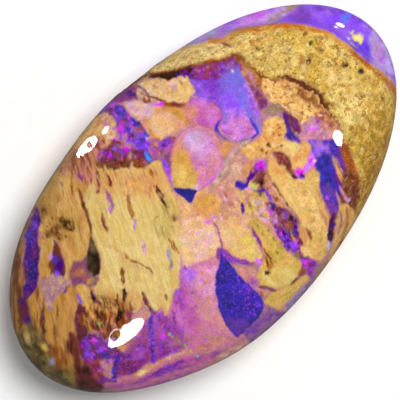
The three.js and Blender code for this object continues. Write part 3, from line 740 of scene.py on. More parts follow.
def paintLowerFragments():
    # head of the seam: a rose sliver with violet and dark brown opal round it
    patch([(243, 176), (244, 166), (252, 161), (256, 163), (248, 180)], "cedar amber", 1, 4)
    stroke([(246, 184), (251, 176), (262, 163)], 6, "purple grape plum", 1.4, ragged=1.3)
    patch([(256, 172), (265, 168), (266, 179), (265, 192), (258, 192), (254, 184)], "plum clay umber", 1.5,
        3, ragged=1.4)
    # yellow pebbles left of it
    pebbles = [(240, 192), (248, 184), (257, 185), (272, 205), (269, 213), (258, 215), (246, 212)]
    patch(pebbles, "gold tan yellow blush", 1.8, 3.5, kind="crumb", ragged=1.4)
    pebbleMarks = [(247, 196, 3, 6, 60, "blush"), (254, 203, 3.6, 5, 60, "yellow"),
        (260, 193, 2.6, 4, 30, "oliveBrown"), (258, 198, 1, 5, 50, "oak"), (266, 200, 3.4, 4.4, 50, "gold"),
        (249, 206, 1, 5, 70, "brick"), (263, 205, 1, 4, 20, "oak")]
    spots(pebbleMarks, edge=1.3, ragged=1.5)
    scatter([(241, 193), (262, 190), (268, 214), (246, 212)], 44, (0.6, 1.5),
        "olive walnut blush lilac yellow honey mist", 64, strength=0.7)
    # dark opal seam left of the long fragment, full of small chips
    stroke([(265, 176), (267, 186), (281, 205), (291, 214)], 5.4, "blush brick amber", 1.2, ragged=1.2)
    darkSeam = [(268, 200), (276, 205), (293, 214), (300, 233), (300, 246), (304, 256), (312, 261),
        (315, 268), (306, 268), (298, 258), (290, 251), (283, 241), (273, 219)]
    patch(darkSeam, "plum maroon grape clay", 1.4, 3, ragged=1.5, flash=("magenta", 0.4))
    patch([(280, 210), (288, 215), (296, 234), (293, 241), (288, 235), (284, 225)], "rust plum umber", 1.2,
        2.5, kind="crumb", ragged=1.5)
    patch([(266, 206), (273, 209), (279, 218), (282, 230), (277, 229), (270, 220)], "blush mauve clay", 1.6,
        3, ragged=1.5)
    scatter([(268, 202), (297, 222), (302, 254), (282, 236)], 44, (0.5, 1.4),
        "rust maroon grape clay purple violet soot", 65, stretch=1.8, turn=60, ragged=1.8, edge=0.9,
        strength=0.8)
    seamChips = [(261, 184, 2.4, 3.6, 70, "soot"), (262, 191, 2, 5, 10, "grape"),
        (268, 196, 2, 5, 55, "violet"), (273, 206, 2.4, 4.4, 80, "ink"),
        (271, 212, 2.4, 3.4, 30, "magenta"), (279, 211, 2.4, 4, 45, "maroon"),
        (285, 215, 1.8, 4, 50, "violet"), (293, 220, 3.4, 5, 60, "soot"), (297, 228, 3, 5.4, 75, "grape"),
        (297, 232, 1.6, 3, 80, "lapis"), (283, 235, 4, 5.4, 50, "grape"),
        (282, 234, 1.6, 2.6, 60, "violet"), (285, 238, 2, 3, 50, "iris"), (288, 243, 3, 5, 50, "grape"),
        (292, 246, 3, 5.4, 75, "violet"), (292, 246, 1.8, 3.4, 70, "iris"), (295, 242, 2, 3, 70, "magenta"),
        (297, 255, 2.6, 5, 40, "olive"), (300, 240, 1.6, 4, 80, "maroon"),
        (304, 265, 3.4, 4.6, 70, "grape"), (311, 264, 2.4, 3.4, 0, "violet"),
        (303, 262, 1.8, 2.8, 50, "iris"), (276, 222, 2, 4, 60, "lilac"), (265, 221, 2, 3.4, 20, "petal"),
        (262, 209, 2.6, 3.4, 30, "petal"), (246, 187, 2, 3.6, 80, "lilac"),
        (255, 187, 1.4, 1.8, 60, "green"), (290, 227, 1.6, 5, 65, "rust"), (293, 236, 1.4, 4, 70, "amber"),
        (279, 229, 2.4, 5, 60, "plum"), (287, 248, 2.4, 4, 50, "grape")]
    spots(seamChips, edge=1.2, ragged=1.5)
    scatter([(276, 228), (292, 232), (300, 252), (290, 254)], 26, (0.5, 1.1), "iris iris magenta lapis", 66,
        strength=0.9, ragged=1.4, edge=0.8)
    violetEnd = [(300, 262), (308, 260), (320, 264), (316, 272), (316, 280), (310, 279), (306, 270)]
    patch(violetEnd, "violet magenta plum", 1.4, 3, ragged=1.4, flash=("magenta", 0.6))
    patch([(298, 268), (306, 270), (304, 276), (298, 276)], "umber brick", 1.5)
    spot(260.5, 165.5, 3.8, "iris magenta plum", 5.4, -30, 2.2, ragged=1.6, mottle=2)
    sparks = [(262.5, 164.5, 1.6, 2.2, 20, "fuchsia"), (258.5, 167.5, 1, 1.6, 40, "fuchsia")]
    spots(sparks, edge=1, ragged=1.4)
    stroke([(242, 203), (243, 214)], 3.4, "grape soot", 0.9, sink=0.04)
    stroke([(256, 208), (262, 215), (270, 219)], 1.6, "oak mauve", 0.8)
    stroke([(216, 190), (226, 194), (234, 207)], 2, "brick blush", 1, strength=0.8)
    spot(225, 200, 2, "white haze", strength=0.8)
    scatter([(238, 194), (262, 196), (276, 214), (276, 226), (262, 222), (246, 220)], 40, (0.5, 1.2),
        "mist lilac olive oak petal yellow", 61, strength=0.7)
    scatter([(182, 222), (205, 220), (218, 242), (212, 256), (190, 262)], 26, (1, 2.2),
        "petal mist yellow peach", 62, strength=0.6, edge=1.6)
    scatter([(212, 186), (236, 186), (240, 215), (214, 216)], 24, (0.8, 1.6),
        "mist lilac brick shell ochre", 63, strength=0.65)
    spot(207, 222, 2.4, "magenta", 3.2, 0, 1.6, 0.8)
    spot(213, 217, 2, "lilac white", 3, 40)
    # the lower tan fragment with its rust streak
    lowerFragment = [(250, 222), (254, 217), (262, 223), (270, 231), (284, 249), (292, 256), (300, 261),
        (301, 268), (291, 284), (270, 288.5), (262, 285), (257, 278), (259, 268), (265, 258), (262, 248),
        (252, 230)]
    patch(lowerFragment, "gold tan khaki", 0.8, 6, kind="crumb", ragged=0.7, rim=("oak", 1.6, 0.4))
    patch([(262, 272), (292, 268), (298, 274), (288, 284), (272, 286)], "gold wheat", 3, 6, kind="wood",
        run=30)
    stroke([(252, 227), (257, 238), (263, 248)], 3.4, "berry purple brick", 0.9)
    stroke([(263, 248), (268, 255), (270, 262), (269, 272)], 8, "rust umber ochre", 1.1, run=75)
    spot(267.5, 273.5, 2, "cocoa", 3, 0, 0.8, sink=0.08)
    stroke([(264, 251), (269, 257), (272, 258)], 2.2, "umber cocoa", 0.8)
    darkSpecks = [(258, 226), (268, 231), (263, 234), (274, 238), (277, 252), (276, 261), (280, 235),
        (282, 243)]
    for x, y in darkSpecks:
        spot(x, y, 0.9, "cocoa olive", 1.5, 50, 0.7, 0.8)
    footFragment = [(262, 300), (268, 296), (276, 291), (294, 283), (302, 277), (308, 275), (309, 279),
        (300, 288), (284, 306), (277, 309), (264, 304)]
    patch(footFragment, "gold tan khaki", 0.9, 5, kind="wood", ragged=0.6, run=150, rim=("oak", 1.6, 0.4))
    stroke([(258, 286), (277, 291)], 4, "umber heather", 1)
    patch([(261, 290), (271, 292), (264, 302), (260, 296)], "brick blush", 1.2)
    stroke([(290, 285), (298, 278)], 1.8, "cocoa", 0.8)
    mauveChip = [(286, 306), (294, 297), (310, 281), (316, 280), (312, 296), (298, 312), (288, 314)]
    patch(mauveChip, "heather haze mauve", 2.4, 6)
    patch([(316, 268), (324, 262), (332, 262), (330, 272), (318, 284), (312, 284)], "dove underTan", 2.5, 5)
    spot(258, 262, 2.8, "magenta lilac", 4.2, 55, 1.4)


def paintWood():
    wood = [(97, 169), (104, 167), (120, 166), (132, 168), (142, 166), (147, 168), (152, 162), (158, 160),
        (162, 165), (166, 177), (171, 188), (176, 200), (179, 212), (176, 219), (180, 226), (178, 236),
        (182, 246), (179, 258), (181, 266), (178, 282), (176, 292), (171, 302), (168, 314), (165, 316),
        (162, 306), (159, 309), (156, 311), (150, 305), (146, 308), (143, 300), (138, 312), (130, 311),
        (124, 308), (116, 306), (100, 304), (95, 292), (96, 280), (100, 272), (100, 262), (97, 248),
        (92, 236), (90, 226), (86, 212), (83, 200), (86, 188), (94, 178)]
    leftPiece = [(20, 140), (60, 152), (80, 158), (98, 166), (100, 182), (92, 196), (88, 214), (92, 234),
        (88, 248), (86, 262), (74, 264), (66, 258), (64, 250), (58, 240), (46, 240), (38, 226), (36, 208),
        (-40, 190)]
    patch(leftPiece, "straw amber tan ochre", 1, 5, kind="wood", run=woodRun)
    roseTop = [(60, 148), (88, 150), (98, 164), (100, 180), (96, 196), (76, 178), (40, 170)]
    patch(roseTop, "cedar salmon amber brick", 5, 4, kind="wood", run=75)
    oliveEdge = [(28, 196), (48, 180), (56, 182), (48, 204), (44, 220), (36, 214), (-20, 220)]
    patch(oliveEdge, "olive oak", 5, 6, kind="wood", run=65, strength=0.7)
    stroke([(34, 204), (88, 122)], 9, "khaki straw olive", 4, strength=0.5, taper=False)
    brownMiddle = [(38, 196), (52, 190), (80, 212), (82, 232), (70, 240), (58, 232), (44, 230)]
    patch(brownMiddle, "oak straw ochre", 5, 5, kind="wood", run=80, strength=0.7)
    patch(wood, "straw cream gold", 0.8, 6, kind="wood", ragged=1.1, run=woodRun, rim=("oak", 1.6, 0.4))
    orangeTop = [(98, 170), (130, 170), (156, 166), (168, 186), (162, 200), (140, 196), (100, 192)]
    patch(orangeTop, "amber tan cedar honey", 8, 4, kind="wood", ragged=1.5, strength=0.8)
    creamMiddle = [(104, 206), (150, 206), (164, 226), (170, 262), (164, 290), (150, 300), (134, 280)]
    patch(creamMiddle, "cream straw wheat", 10, kind="wood", strength=0.7)
    patch([(158, 196), (172, 200), (176, 216), (172, 236), (160, 238), (152, 222)], "flax straw olive", 6,
        4, kind="wood", run=64, strength=0.75)
    patch([(100, 290), (124, 292), (140, 296), (136, 308), (100, 303)], "amber straw ochre", 5, 4,
        kind="wood", run=80, strength=0.8)
    # brown crust along its upper edge
    stroke([(96, 163), (146, 161)], 8, "walnut rust cocoa", 3, 3, ragged=1.4)
    stroke([(97, 168), (120, 165.5), (134, 166.5), (146, 165)], 3.4, "rust walnut cocoa", 1.2, 3,
        ragged=1.6)
    scatter([(100, 163), (144, 161), (144, 168), (100, 170)], 30, (0.5, 1.1), "cocoa umber rust", 71,
        stretch=1.8, turn=80, strength=0.7, ragged=1)
    # slits between the fibres: path, width, colours
    slits = [
        ([(107, 175), (109, 181), (110, 187)], 4.2, "maroon umber"),
        ([(105, 189), (108, 197), (111, 205), (112, 214)], 4.6, "mauve orchid mauve"),
        ([(101, 212), (104, 221), (107, 232)], 3.2, "maroon brick"),
        ([(127, 194), (129, 203), (131, 211), (132, 219)], 4.4, "brick oak"),
        ([(134, 219), (135, 225), (135, 232)], 3.2, "lavender mauve"),
        ([(143, 241), (144, 248), (145, 256)], 3.4, "petal mauve"),
        ([(156, 185), (159, 192), (162, 199), (166, 207)], 4, "maroon soot"),
        ([(151, 170), (154, 177)], 2.4, "rust"),
        ([(167, 248), (169, 255), (171, 262), (172, 270)], 3, "olive haze"),
        ([(168, 237), (171, 245), (175, 252)], 2, "rust brick"),
        ([(172, 240), (175, 247), (179, 254)], 2, "brick rust"),
        ([(122, 268), (122, 276), (124, 284)], 4.2, "maroon walnut"),
        ([(125, 288), (124, 298), (124, 308)], 4.2, "soot cocoa"),
        ([(117, 294), (117, 303), (116, 308)], 2.6, "walnut cocoa"),
        ([(142, 292), (145, 299), (148, 307)], 3.8, "maroon plum"),
        ([(164, 293), (166, 301)], 2, "brick"),
        ([(96, 170), (98, 182), (97, 194)], 4.2, "brick maroon cedar"),
        ([(88, 166), (90, 176), (92, 184)], 2.8, "brick cedar"),
        ([(71, 168), (72, 178), (73, 196)], 2.6, "rust oak"),
        ([(60, 181), (63, 187)], 3, "cedar mauve"),
        ([(154, 218), (158, 216)], 1.6, "olive"),
        ([(172, 216), (176, 222)], 4, "olive walnut"),
    ]
    for path, width, colours in slits:
        stroke(path, width, colours, 0.7, 3, ragged=0.8, sink=0.04 if path[0][0] > 80 else None)
    spot(80, 176, 2.6, "orchid plum", 4, 50)
    spot(110, 209, 2, "lilac")
    stroke([(121, 254), (129, 262), (152, 275)], 5, "blush amber", 3, strength=0.45)
    stroke([(106, 246), (114, 248), (128, 258)], 1.4, "amber oak", 0.8, ragged=0.8, strength=0.7)
    stroke([(122, 254), (128, 258), (147, 268), (152, 274)], 2, "walnut cocoa oak", ragged=0.8, sink=0.04,
        dull=1)
    scatter(wood, 190, (0.5, 0.9), "amber cream oak flax straw buff", 72, stretch=3, turn=woodRun,
        strength=0.5, edge=0.7)
    scatter([(98, 170), (150, 168), (166, 196), (104, 196)], 46, (0.5, 0.9), "rust oak cedar buff", 73,
        stretch=4, turn=woodRun, strength=0.7, edge=0.7)
    scatter([(40, 200), (60, 168), (92, 170), (86, 210), (84, 250), (66, 250), (44, 230)], 60, (0.5, 1),
        "cedar oak buff walnut", 74, stretch=4, turn=75, strength=0.55, edge=0.8)
    # dark speckled stain on the left piece
    spot(60, 229, 7, "oak walnut", 14, -35, 7, 0.55)
    stains = [(67, 225, 4.4, 5.4, 70), (57, 229, 3.4, 7, -40), (50, 235, 3.4, 6, -20),
        (45, 211, 3.6, 4.6, 60), (59, 235, 3, 5, 60), (62, 221, 3, 4, 10), (73, 223, 2, 3, 80),
        (45, 240, 2.6, 4.6, 20), (42, 218, 2, 3, 80)]
    for x, y, radius, long, turn in stains:
        spot(x, y, radius, "walnut cocoa", long, turn, 3, 0.75, ragged=1.8)
    spot(67, 226, 3, "soot", 4.4, 70, 1.6, 0.9, ragged=1.6)
    spot(59, 231, 1.8, "cocoa", 3.4, -30, 1.2, 0.9, ragged=1.6)
    scatter([(42, 208), (54, 218), (66, 217), (75, 224), (66, 237), (48, 243), (42, 236)], 60, (0.5, 1.1),
        "walnut cocoa soot ochre oak", 75, stretch=1.6, turn=80, strength=0.85, edge=0.8)
    # olive slit that widens below
    stroke([(77, 188), (82, 200), (89, 224), (91, 236)], 3.4, "moss brick walnut", 0.9, sink=0.05)
    oliveSlit = [(91, 236), (98, 250), (100, 270), (95, 276), (88, 277), (85, 268), (89, 244)]
    patch(oliveSlit, "moss moss soot", 1, ragged=0.4)
    spot(93, 247, 3, "taupe olive", 6, 72, 2.5, 0.5)
    spot(89, 276, 3, "olive ochre", 4, 10, 2, 0.8)


def paintLeft():
    # brown edge strip with dark violet opal inside it
    edgeStrip = [(-100, 180), (24, 216), (28, 226), (24, 240), (22, 262), (24, 284), (30, 300), (30, 330),
        (-60, 400)]
    patch(edgeStrip, "bronze umber oak", 2, 6, run=92)
    stroke([(22, 224), (36, 204)], 9, "dove salmon", 2.5, strength=0.6)
    violetStrip = [(36, 206), (41, 220), (38, 230), (38, 242), (41, 254), (37, 284), (30, 296), (25, 300),
        (22, 292), (26, 280), (24, 264), (26, 234), (31, 220)]
    patch(violetStrip, "grape plum grape", 1.1, 5, flash=("iris", 0.45))
    stripFlecks = [(34, 225, 3, "violet"), (29, 234, 3, "blue"), (27, 243, 2.4, "lapis"),
        (36, 252, 3, "plum"), (32, 265, 4, "ink"), (31, 276, 4, "ink"), (29, 288, 3, "grape"),
        (25, 262, 1.6, "violet")]
    for x, y, radius, tone in stripFlecks:
        spot(x, y, radius, tone, radius * 1.4, 80, 1.8, ragged=1.2)
    scatter([(37, 214), (36, 270), (28, 292), (27, 236)], 30, (0.5, 1.2), "iris blue violet ink", 83,
        strength=0.7, edge=0.9)
    stroke([(24, 262), (27, 284)], 4, "umber plum", 1.5)
    # narrow wood pieces and the second slit
    narrowWood = [(40, 240), (48, 238), (56, 240), (66, 250), (72, 262), (72, 276), (64, 280), (50, 280),
        (40, 276), (39, 262), (41, 252)]
    patch(narrowWood, "amber straw ochre", 1, 4, kind="wood", run=85)
    secondSlit = [(54, 240), (60, 247), (66, 266), (65, 277), (60, 279), (52, 277), (50, 268), (54, 248)]
    patch(secondSlit, "plum grape umber", 1, 4)
    slitFlecks = [(56, 260, 2.4, "blue"), (57, 275, 2.6, "iris"), (60, 268, 3, "grape"),
        (51, 257, 2, "lilac"), (51, 266, 3, "bronze"), (52, 274, 2.4, "bronze")]
    for x, y, radius, tone in slitFlecks:
        spot(x, y, radius, tone, radius * 1.5, 80, 1.4)
    roseGap = [(73, 262), (80, 262), (86, 256), (87, 268), (90, 278), (86, 286), (76, 287), (70, 280)]
    patch(roseGap, "clay oak heather", 1.6, 6)
    patch([(88, 278), (96, 276), (98, 280), (90, 296), (87, 288)], "ochre olive heather", 1.2, 4)
    # lower left: mauve piece, then long orange fibres that darken to the edge
    orangeFibres = [(28, 300), (36, 288), (44, 276), (52, 282), (74, 286), (84, 290), (90, 300), (96, 320),
        (86, 345), (84, 380), (80, 400), (60, 480), (-40, 420), (20, 330)]
    patch(orangeFibres, "amber oak ochre bronze", 1.4, 5, kind="wood", run=84)
    patch([(50, 344), (62, 350), (70, 362), (70, 376), (58, 372), (50, 358)], "walnut oak rust", 4, 4,
        kind="wood", run=86)
    mauvePiece = [(42, 280), (54, 276), (66, 278), (68, 286), (60, 296), (50, 312), (41, 290)]
    patch(mauvePiece, "straw dove mauve blush", 1.6, 3, ragged=1.3, flash=("violetSoft", 0.5))
    ochreFibres = [(58, 294), (76, 288), (78, 300), (76, 330), (66, 340), (56, 330), (52, 312)]
    patch(ochreFibres, "ochre amber oak", 2, 4, kind="wood", run=88)
    stroke([(64, 294), (67, 288)], 3, "heather", 1)
    stroke([(20, 296), (24, 306), (26, 318), (30, 328)], 9, "plum maroon grape", 2, 6)
    stroke([(43, 305), (44, 330), (45, 342), (52, 350)], 4, "plum cocoa oliveBrown", 1.2, ragged=0.9)
    stroke([(57, 304), (58, 317)], 2, "walnut", 1)
    plumSlit = [(78, 306), (82, 304), (88, 312), (88, 330), (86, 350), (80, 356), (77, 340), (75, 322)]
    patch(plumSlit, "plum maroon cocoa", 1.6, 5)
    stroke([(77, 293), (80, 299), (81, 304)], 3.6, "violetSoft violet", 1)
    darkFoot = [(68, 334), (76, 336), (84, 370), (96, 376), (104, 386), (100, 400), (84, 470), (74, 372),
        (70, 352)]
    patch(darkFoot, "umber soot maroon", 2.5, 6, run=88)
    oliveFoot = [(24, 328), (36, 330), (58, 366), (70, 372), (74, 392), (40, 470), (-40, 420)]
    patch(oliveFoot, "oliveBrown olive moss", 5)
    patch([(30, 362), (46, 376), (62, 388), (84, 394), (84, 470), (-20, 430)], "moss underBrown", 6, 8)
    spot(27, 337, 2.4, "straw", 5.5, 80, 2)
    spot(44, 347, 3, "ochre yellow", 4, 60, 2)
    spot(52, 362, 3, "olive haze", 4.5, 80, 2.5)
    # narrow tan pieces above the hollow
    narrowPiece = [(76, 286), (86, 286), (90, 296), (94, 310), (95, 318), (90, 314), (82, 300)]
    patch(narrowPiece, "straw ochre tan", 1.2, 3.5, kind="wood", run=75)
    stroke([(91, 290), (98, 322)], 4.4, "cocoa plum soot", 1.1, sink=0.05)


def paintHollow():
    # rust-brown fibres round a small black pit
    rustFibres = [(92, 304), (104, 303), (120, 303), (134, 306), (128, 326), (118, 338), (106, 336),
        (96, 330), (86, 330), (80, 320), (84, 314), (92, 318), (94, 310)]
    patch(rustFibres, "rust umber cedar cocoa", 1.8, 3, kind="wood", ragged=1.8, run=78, dull=0.2)
    patch([(96, 304), (132, 306), (110, 314), (98, 311)], "amber rust straw", 2.6, 2.4, kind="wood",
        ragged=2, run=76, strength=0.75)
    scatter([(96, 300), (132, 303), (108, 328), (88, 328), (84, 318)], 130, (0.4, 0.8),
        "ochre cocoa rust amber umber cocoa", 81, stretch=5, turn=76, strength=0.8, ragged=0.5, edge=0.7,
        sink=0.015)
    fibreMarks = [(119, 318, 2.6, 6, -58, "soot"), (117, 325, 2, 4, -60, "cocoa"),
        (98, 316, 1.8, 5, 70, "cocoa"), (93, 326, 2.4, 7, 75, "umber"), (103, 335, 2, 5, 20, "maroon"),
        (129, 316, 2.2, 4, -40, "berry"), (98, 322, 0.8, 1.2, 0, "green"), (114, 326, 2, 5, 70, "cedar")]
    spots(fibreMarks, edge=1.1, ragged=1.6)
    crumbs = [(118, 335, 3.6, 5, -40, "ochre"), (119, 332, 1.6, 3, 20, "rust"),
        (115, 338, 1.4, 3, 30, "moss")]
    spots(crumbs, kind="crumb", edge=1, ragged=1.6)
    # dark plum field below it, glittering violet and blue
    glitter = [(80, 342), (90, 334), (104, 338), (116, 344), (124, 354), (124, 362), (116, 377), (102, 384),
        (90, 382), (84, 366), (82, 352)]
    patch(glitter, "plum grape purple maroon", 1.8, 4, ragged=1.4, flash=("iris", 0.35))
    patch([(86, 357), (106, 360), (108, 372), (104, 380), (94, 382), (88, 372)],
        "crimson clay crimson maroon", 1.6, 3.5, ragged=1.4, flash=("magenta", 0.25))
    patch([(101, 361), (112, 359), (112, 377), (104, 376)], "blush salmon pink", 1.8, 3, ragged=1.4)
    scatter(glitter, 60, (0.5, 1.2), "iris magenta violet purple crimson grape", 82, strength=0.8,
        ragged=1.4, edge=0.9)
    scatter([(82, 344), (104, 340), (120, 354), (118, 362), (90, 358)], 40, (0.5, 1.2),
        "iris fuchsia iris ink magenta", 84, strength=0.9, ragged=1.4, edge=0.8)
    spot(83, 299, 5, None, edge=2, dull=1)
    spot(142.5, 292, 3, None, edge=2, dull=1)
    fieldFlecks = [(99, 344, 4, 6, -20, "purple"), (94, 341, 2, 3.4, 20, "magenta"),
        (88, 355, 2.6, 5, 25, "iris"), (104, 354, 3.6, 6, 15, "grape"), (100, 351, 1.8, 2.8, 10, "iris"),
        (107, 356, 1.8, 2.8, 0, "blue"), (114, 351, 2.6, 5, 10, "maroon"), (123, 347, 3, 4.4, -20, "honey"),
        (119, 357, 1.8, 3, 60, "magenta"), (88, 347, 2, 4, 70, "violet"), (127, 366, 4.4, 7, -20, "plum"),
        (128, 356, 1.6, 4, 80, "grape"), (94, 368, 2, 4, 60, "maroon"), (110, 371, 1.4, 2.4, 0, "lilac"),
        (104, 378, 2, 3, 0, "purple")]
    spots(fieldFlecks, edge=1.3, ragged=1.4)
    stroke([(119, 356), (115, 371), (115, 380)], 4.4, "grape lapis blue", 1.1, ragged=1, taper=False)
    patch([(120, 362), (134, 362), (148, 357), (141, 369), (128, 375), (118, 373)], "berry purple plum",
        2.5, 4, flash=("magenta", 0.5))
    patch([(84, 362), (92, 376), (100, 384), (96, 396), (84, 400), (78, 384)], "soot cocoa maroon", 2, 5)


def paintField():
    stroke([(150.5, 316), (153, 360)], 4.6, "violet grape lapis", 1, kind="opal", flash=("iris", 0.8),
        taper=False)
    stroke([(150, 306), (152, 312), (156, 312)], 5, "plum heather", 1.4)
    patch([(134, 318), (146, 309), (150, 316), (134, 330)], "blush salmon", 2)
    stroke([(173, 300), (178, 292), (182, 316)], 5, "purple orchid violetSoft", 2.4)
    stroke([(172, 310), (176, 324)], 2.4, "grape purple", 1.6)
    scatter([(136, 325), (165, 314), (182, 290), (190, 266), (200, 280), (196, 310), (184, 330), (182, 352),
        (128, 362)], 190, (0.5, 1.3), "orchid magenta purple iris pink violet crimson", 91, strength=0.65,
        ragged=1, edge=0.9)
    scatter([(190, 262), (214, 258), (214, 290), (222, 330), (240, 344), (190, 350), (196, 310)], 110,
        (0.6, 1.6), "pink lilac orchid salmon blush magenta", 92, strength=0.5, edge=1)
    greenGlints = [(170.5, 334, 1.1), (173.5, 336.5, 0.8), (184.5, 345.5, 0.8), (191.5, 351.5, 1.4),
        (197.5, 356.5, 1.2), (186, 348, 0.6)]
    for x, y, radius in greenGlints:
        spot(x, y, radius, "green", radius * 1.2, 70, 0.8)
    spot(163.5, 336, 2, "magenta", 3, 0, 1.6)
    spot(162, 346, 2.4, "purple", edge=2)
    patch([(182, 268), (192, 266), (196, 276), (188, 280)], "violetSoft lilac", 2.5, strength=0.7)
    stroke([(184, 264), (187, 270)], 1.6, "plum", 0.8)


def paintFragmentTopLeft():
    fragment = [(138, 84), (150, 78), (157, 78), (162, 81), (168, 82), (172, 78), (180, 76), (186, 77),
        (189, 82), (194, 87), (195, 93), (190, 96), (187, 101), (179, 103), (170, 101), (152, 95),
        (144, 89)]
    patch(fragment, "buff peach shell", 0.8, 5, kind="crumb", ragged=1.3, rim=("amber", 1.8, 0.5))
    patch([(178, 82), (188, 84), (192, 92), (184, 96), (178, 90)], "tan buff", 3, kind="wood")
    stroke([(164, 84), (168, 90), (176, 94)], 3, "honey", 2.5, strength=0.6)
    spot(173, 87, 3, "petal blush", 4, 20, 1.6)
    spot(154, 86, 1.8, "blush", edge=1.4)
    spot(181, 82, 1, "oak", 3, 55, 0.8)
    roseShadow = [(136, 88), (146, 90), (154, 97), (160, 102), (150, 104), (142, 102), (137, 96)]
    patch(roseShadow, "shell blush brick", 1.4, 4)
    stroke([(136, 85), (142, 88), (150, 95)], 2.4, "mauve plum", 0.9)
    stroke([(145, 95), (166, 101)], 2.6, "umber brick", 1)
    stroke([(172, 101), (178, 104), (185, 105)], 3, "umber berry", 1)


for paintPart in (
        paintGrounds, paintLowerRim, paintMiddle, paintUpperLeft, paintVioletFields, paintUpperMiddle,
        paintBall, paintTopMiddle, paintShelf, paintSandstone, paintBlueStrip, paintFragmentTopLeft,
        paintTanFragments, paintLowerFragments, paintWood, paintLeft, paintHollow, paintField,
        paintFacets):
    paintPart()
print("pattern described in", len(layers), "layers")


# How every layer is laid, in pixels or as shares of its mottle
brush = {
    "taper": 0.85,  # how far a stroke narrows at its ends
    "cloudStep": 0.4,  # how softly one colour turns into the next
    "fibreStep": 0.3,  # the same where the layer has fibres
    "fibreLength": 3.2,
    "fibreWidth": 0.6,
    "tilt": 0.08,  # each further colour takes a little less room
    "warps": ((2.6, 7, 3), (1.3, 2.6, 2)),  # reach, size and octaves of what makes outlines ragged
    "fibreWarp": 0.4,  # the most that fibres are bent
    "margin": 6,  # how far past its points a layer is looked for
    "seed": 1000,
    "seedStep": 7,
    "warpSeeds": (501, 503),
}


def layerWeight(layer, x, y):
    points = layer["points"]
    if layer["form"] == "patch":
        outline = curveThrough(points, True) if layer["smooth"] else np.array(points, float)
        inside = insideDistance(outline, x, y)
    elif layer["form"] == "stroke":
        distance, place = pathDistance(curveThrough(points, False), x, y)
        half = layer["width"] / 2
        if layer["taper"]:
            half = half * (1 - brush["taper"] * np.abs(2 * place - 1) ** 3)
        inside = half - distance
    else:
        along, across = turned(x - points[0][0], y - points[0][1], math.radians(layer["turn"]))
        away = np.hypot(along / layer["long"], across / layer["radius"])
        inside = (1 - away) * layer["radius"]
    return smoothstep(-layer["edge"], layer["edge"], inside), inside


def layerColour(layer, x, y, seed, inside):
    colour = np.tile(linear(layer["colours"][0]), (len(x), 1))
    length, width, step = layer["mottle"], layer["mottle"], brush["cloudStep"]
    if layer["run"] is not None:
        length, width, step = length * brush["fibreLength"], width * brush["fibreWidth"], brush["fibreStep"]
    along, across = turned(x, y, math.radians(layer["run"] or 0))
    for k, name in enumerate(layer["colours"][1:]):
        # the steps aside keep the clouds of one layer apart
        noise = clouds(along / length + 17.3 * k, across / width - 9.1 * k, seed + 3 * k)
        share = smoothstep(brush["tilt"] * k - step, brush["tilt"] * k + step, noise)[:, None]
        colour = blend(colour, linear(name), share)
    if layer["rim"]:
        name, width, strength = layer["rim"]
        share = (strength * smoothstep(width, 0, inside))[:, None]
        colour = blend(colour, linear(name), share)
    return colour


def lay(values, near, goal, share):
    values[near] = blend(values[near], goal, share)


def paintAt(x, y, grainX, grainY):  # the last two place the clouds of colour
    painted = {key: np.zeros(len(x)) for key in ("flash", "sand", "wood", "sink", "dull")}
    painted.update({key: np.zeros((len(x), 3)) for key in ("colour", "flashColour")})
    warpX, warpY = (sum(reach * clouds(grainX / size, grainY / size, seed + k, octaves)
                        for k, (reach, size, octaves) in enumerate(brush["warps"]))
                    for seed in brush["warpSeeds"])
    for number, layer in enumerate(layers):
        points = np.array(layer["points"], float)
        size = max(layer.get("width", 0), layer.get("long", 0))
        reach = brush["margin"] + layer["edge"] + size + 3 * layer["ragged"]
        low, high = points.min(0) - reach, points.max(0) + reach
        near = np.flatnonzero((x > low[0]) & (x < high[0]) & (y > low[1]) & (y < high[1]))
        if not len(near):
            continue
        px = x[near] + layer["ragged"] * warpX[near]
        py = y[near] + layer["ragged"] * warpY[near]
        weight, inside = layerWeight(layer, px, py)
        weight = weight * layer["strength"]
        near, px, py, inside, weight = (values[weight > 0.001] for values in (near, px, py, inside, weight))
        if not len(near):
            continue
        wide = weight[:, None]
        if layer["colours"]:
            bend = layer["ragged"] if layer["run"] is None else min(layer["ragged"], brush["fibreWarp"])
            bentX, bentY = grainX[near] + bend * warpX[near], grainY[near] + bend * warpY[near]
            colour = layerColour(layer, bentX, bentY, brush["seed"] + brush["seedStep"] * number, inside)
            lay(painted["colour"], near, colour, wide)
        goals = {"sink": layer["sink"], "dull": layer["dull"]}
        if layer["kind"]:
            goals["sand"], goals["wood"] = kinds[layer["kind"]]
            flashTone, goals["flash"] = layer["flash"] or (layer["colours"][0], 0)
            lay(painted["flashColour"], near, linear(flashTone), wide)
        for key, goal in goals.items():
            if goal is not None:
                lay(painted[key], near, goal, weight)
    return painted


# The dense skin of the stone
def planRadius(bearing):
    a, b = stone["halfLength"], stone["halfWidth"]
    ellipse = a * b / np.hypot(b * np.cos(bearing), a * np.sin(bearing))
    shares = np.array(stone["planShares"], float)
    count = len(shares)
    place = (bearing / (2 * math.pi)) % 1 * count
    first = np.floor(place).astype(int)
    around = [shares[(first + step) % count] for step in (-1, 0, 1, 2)]
    return ellipse * curveAt(*around, place - first)


def swellAt(x, y):
    return sum(lift * np.exp(-((x - sx) ** 2 + (y - sy) ** 2) / reach ** 2)
               for sx, sy, reach, lift in stone["swells"])


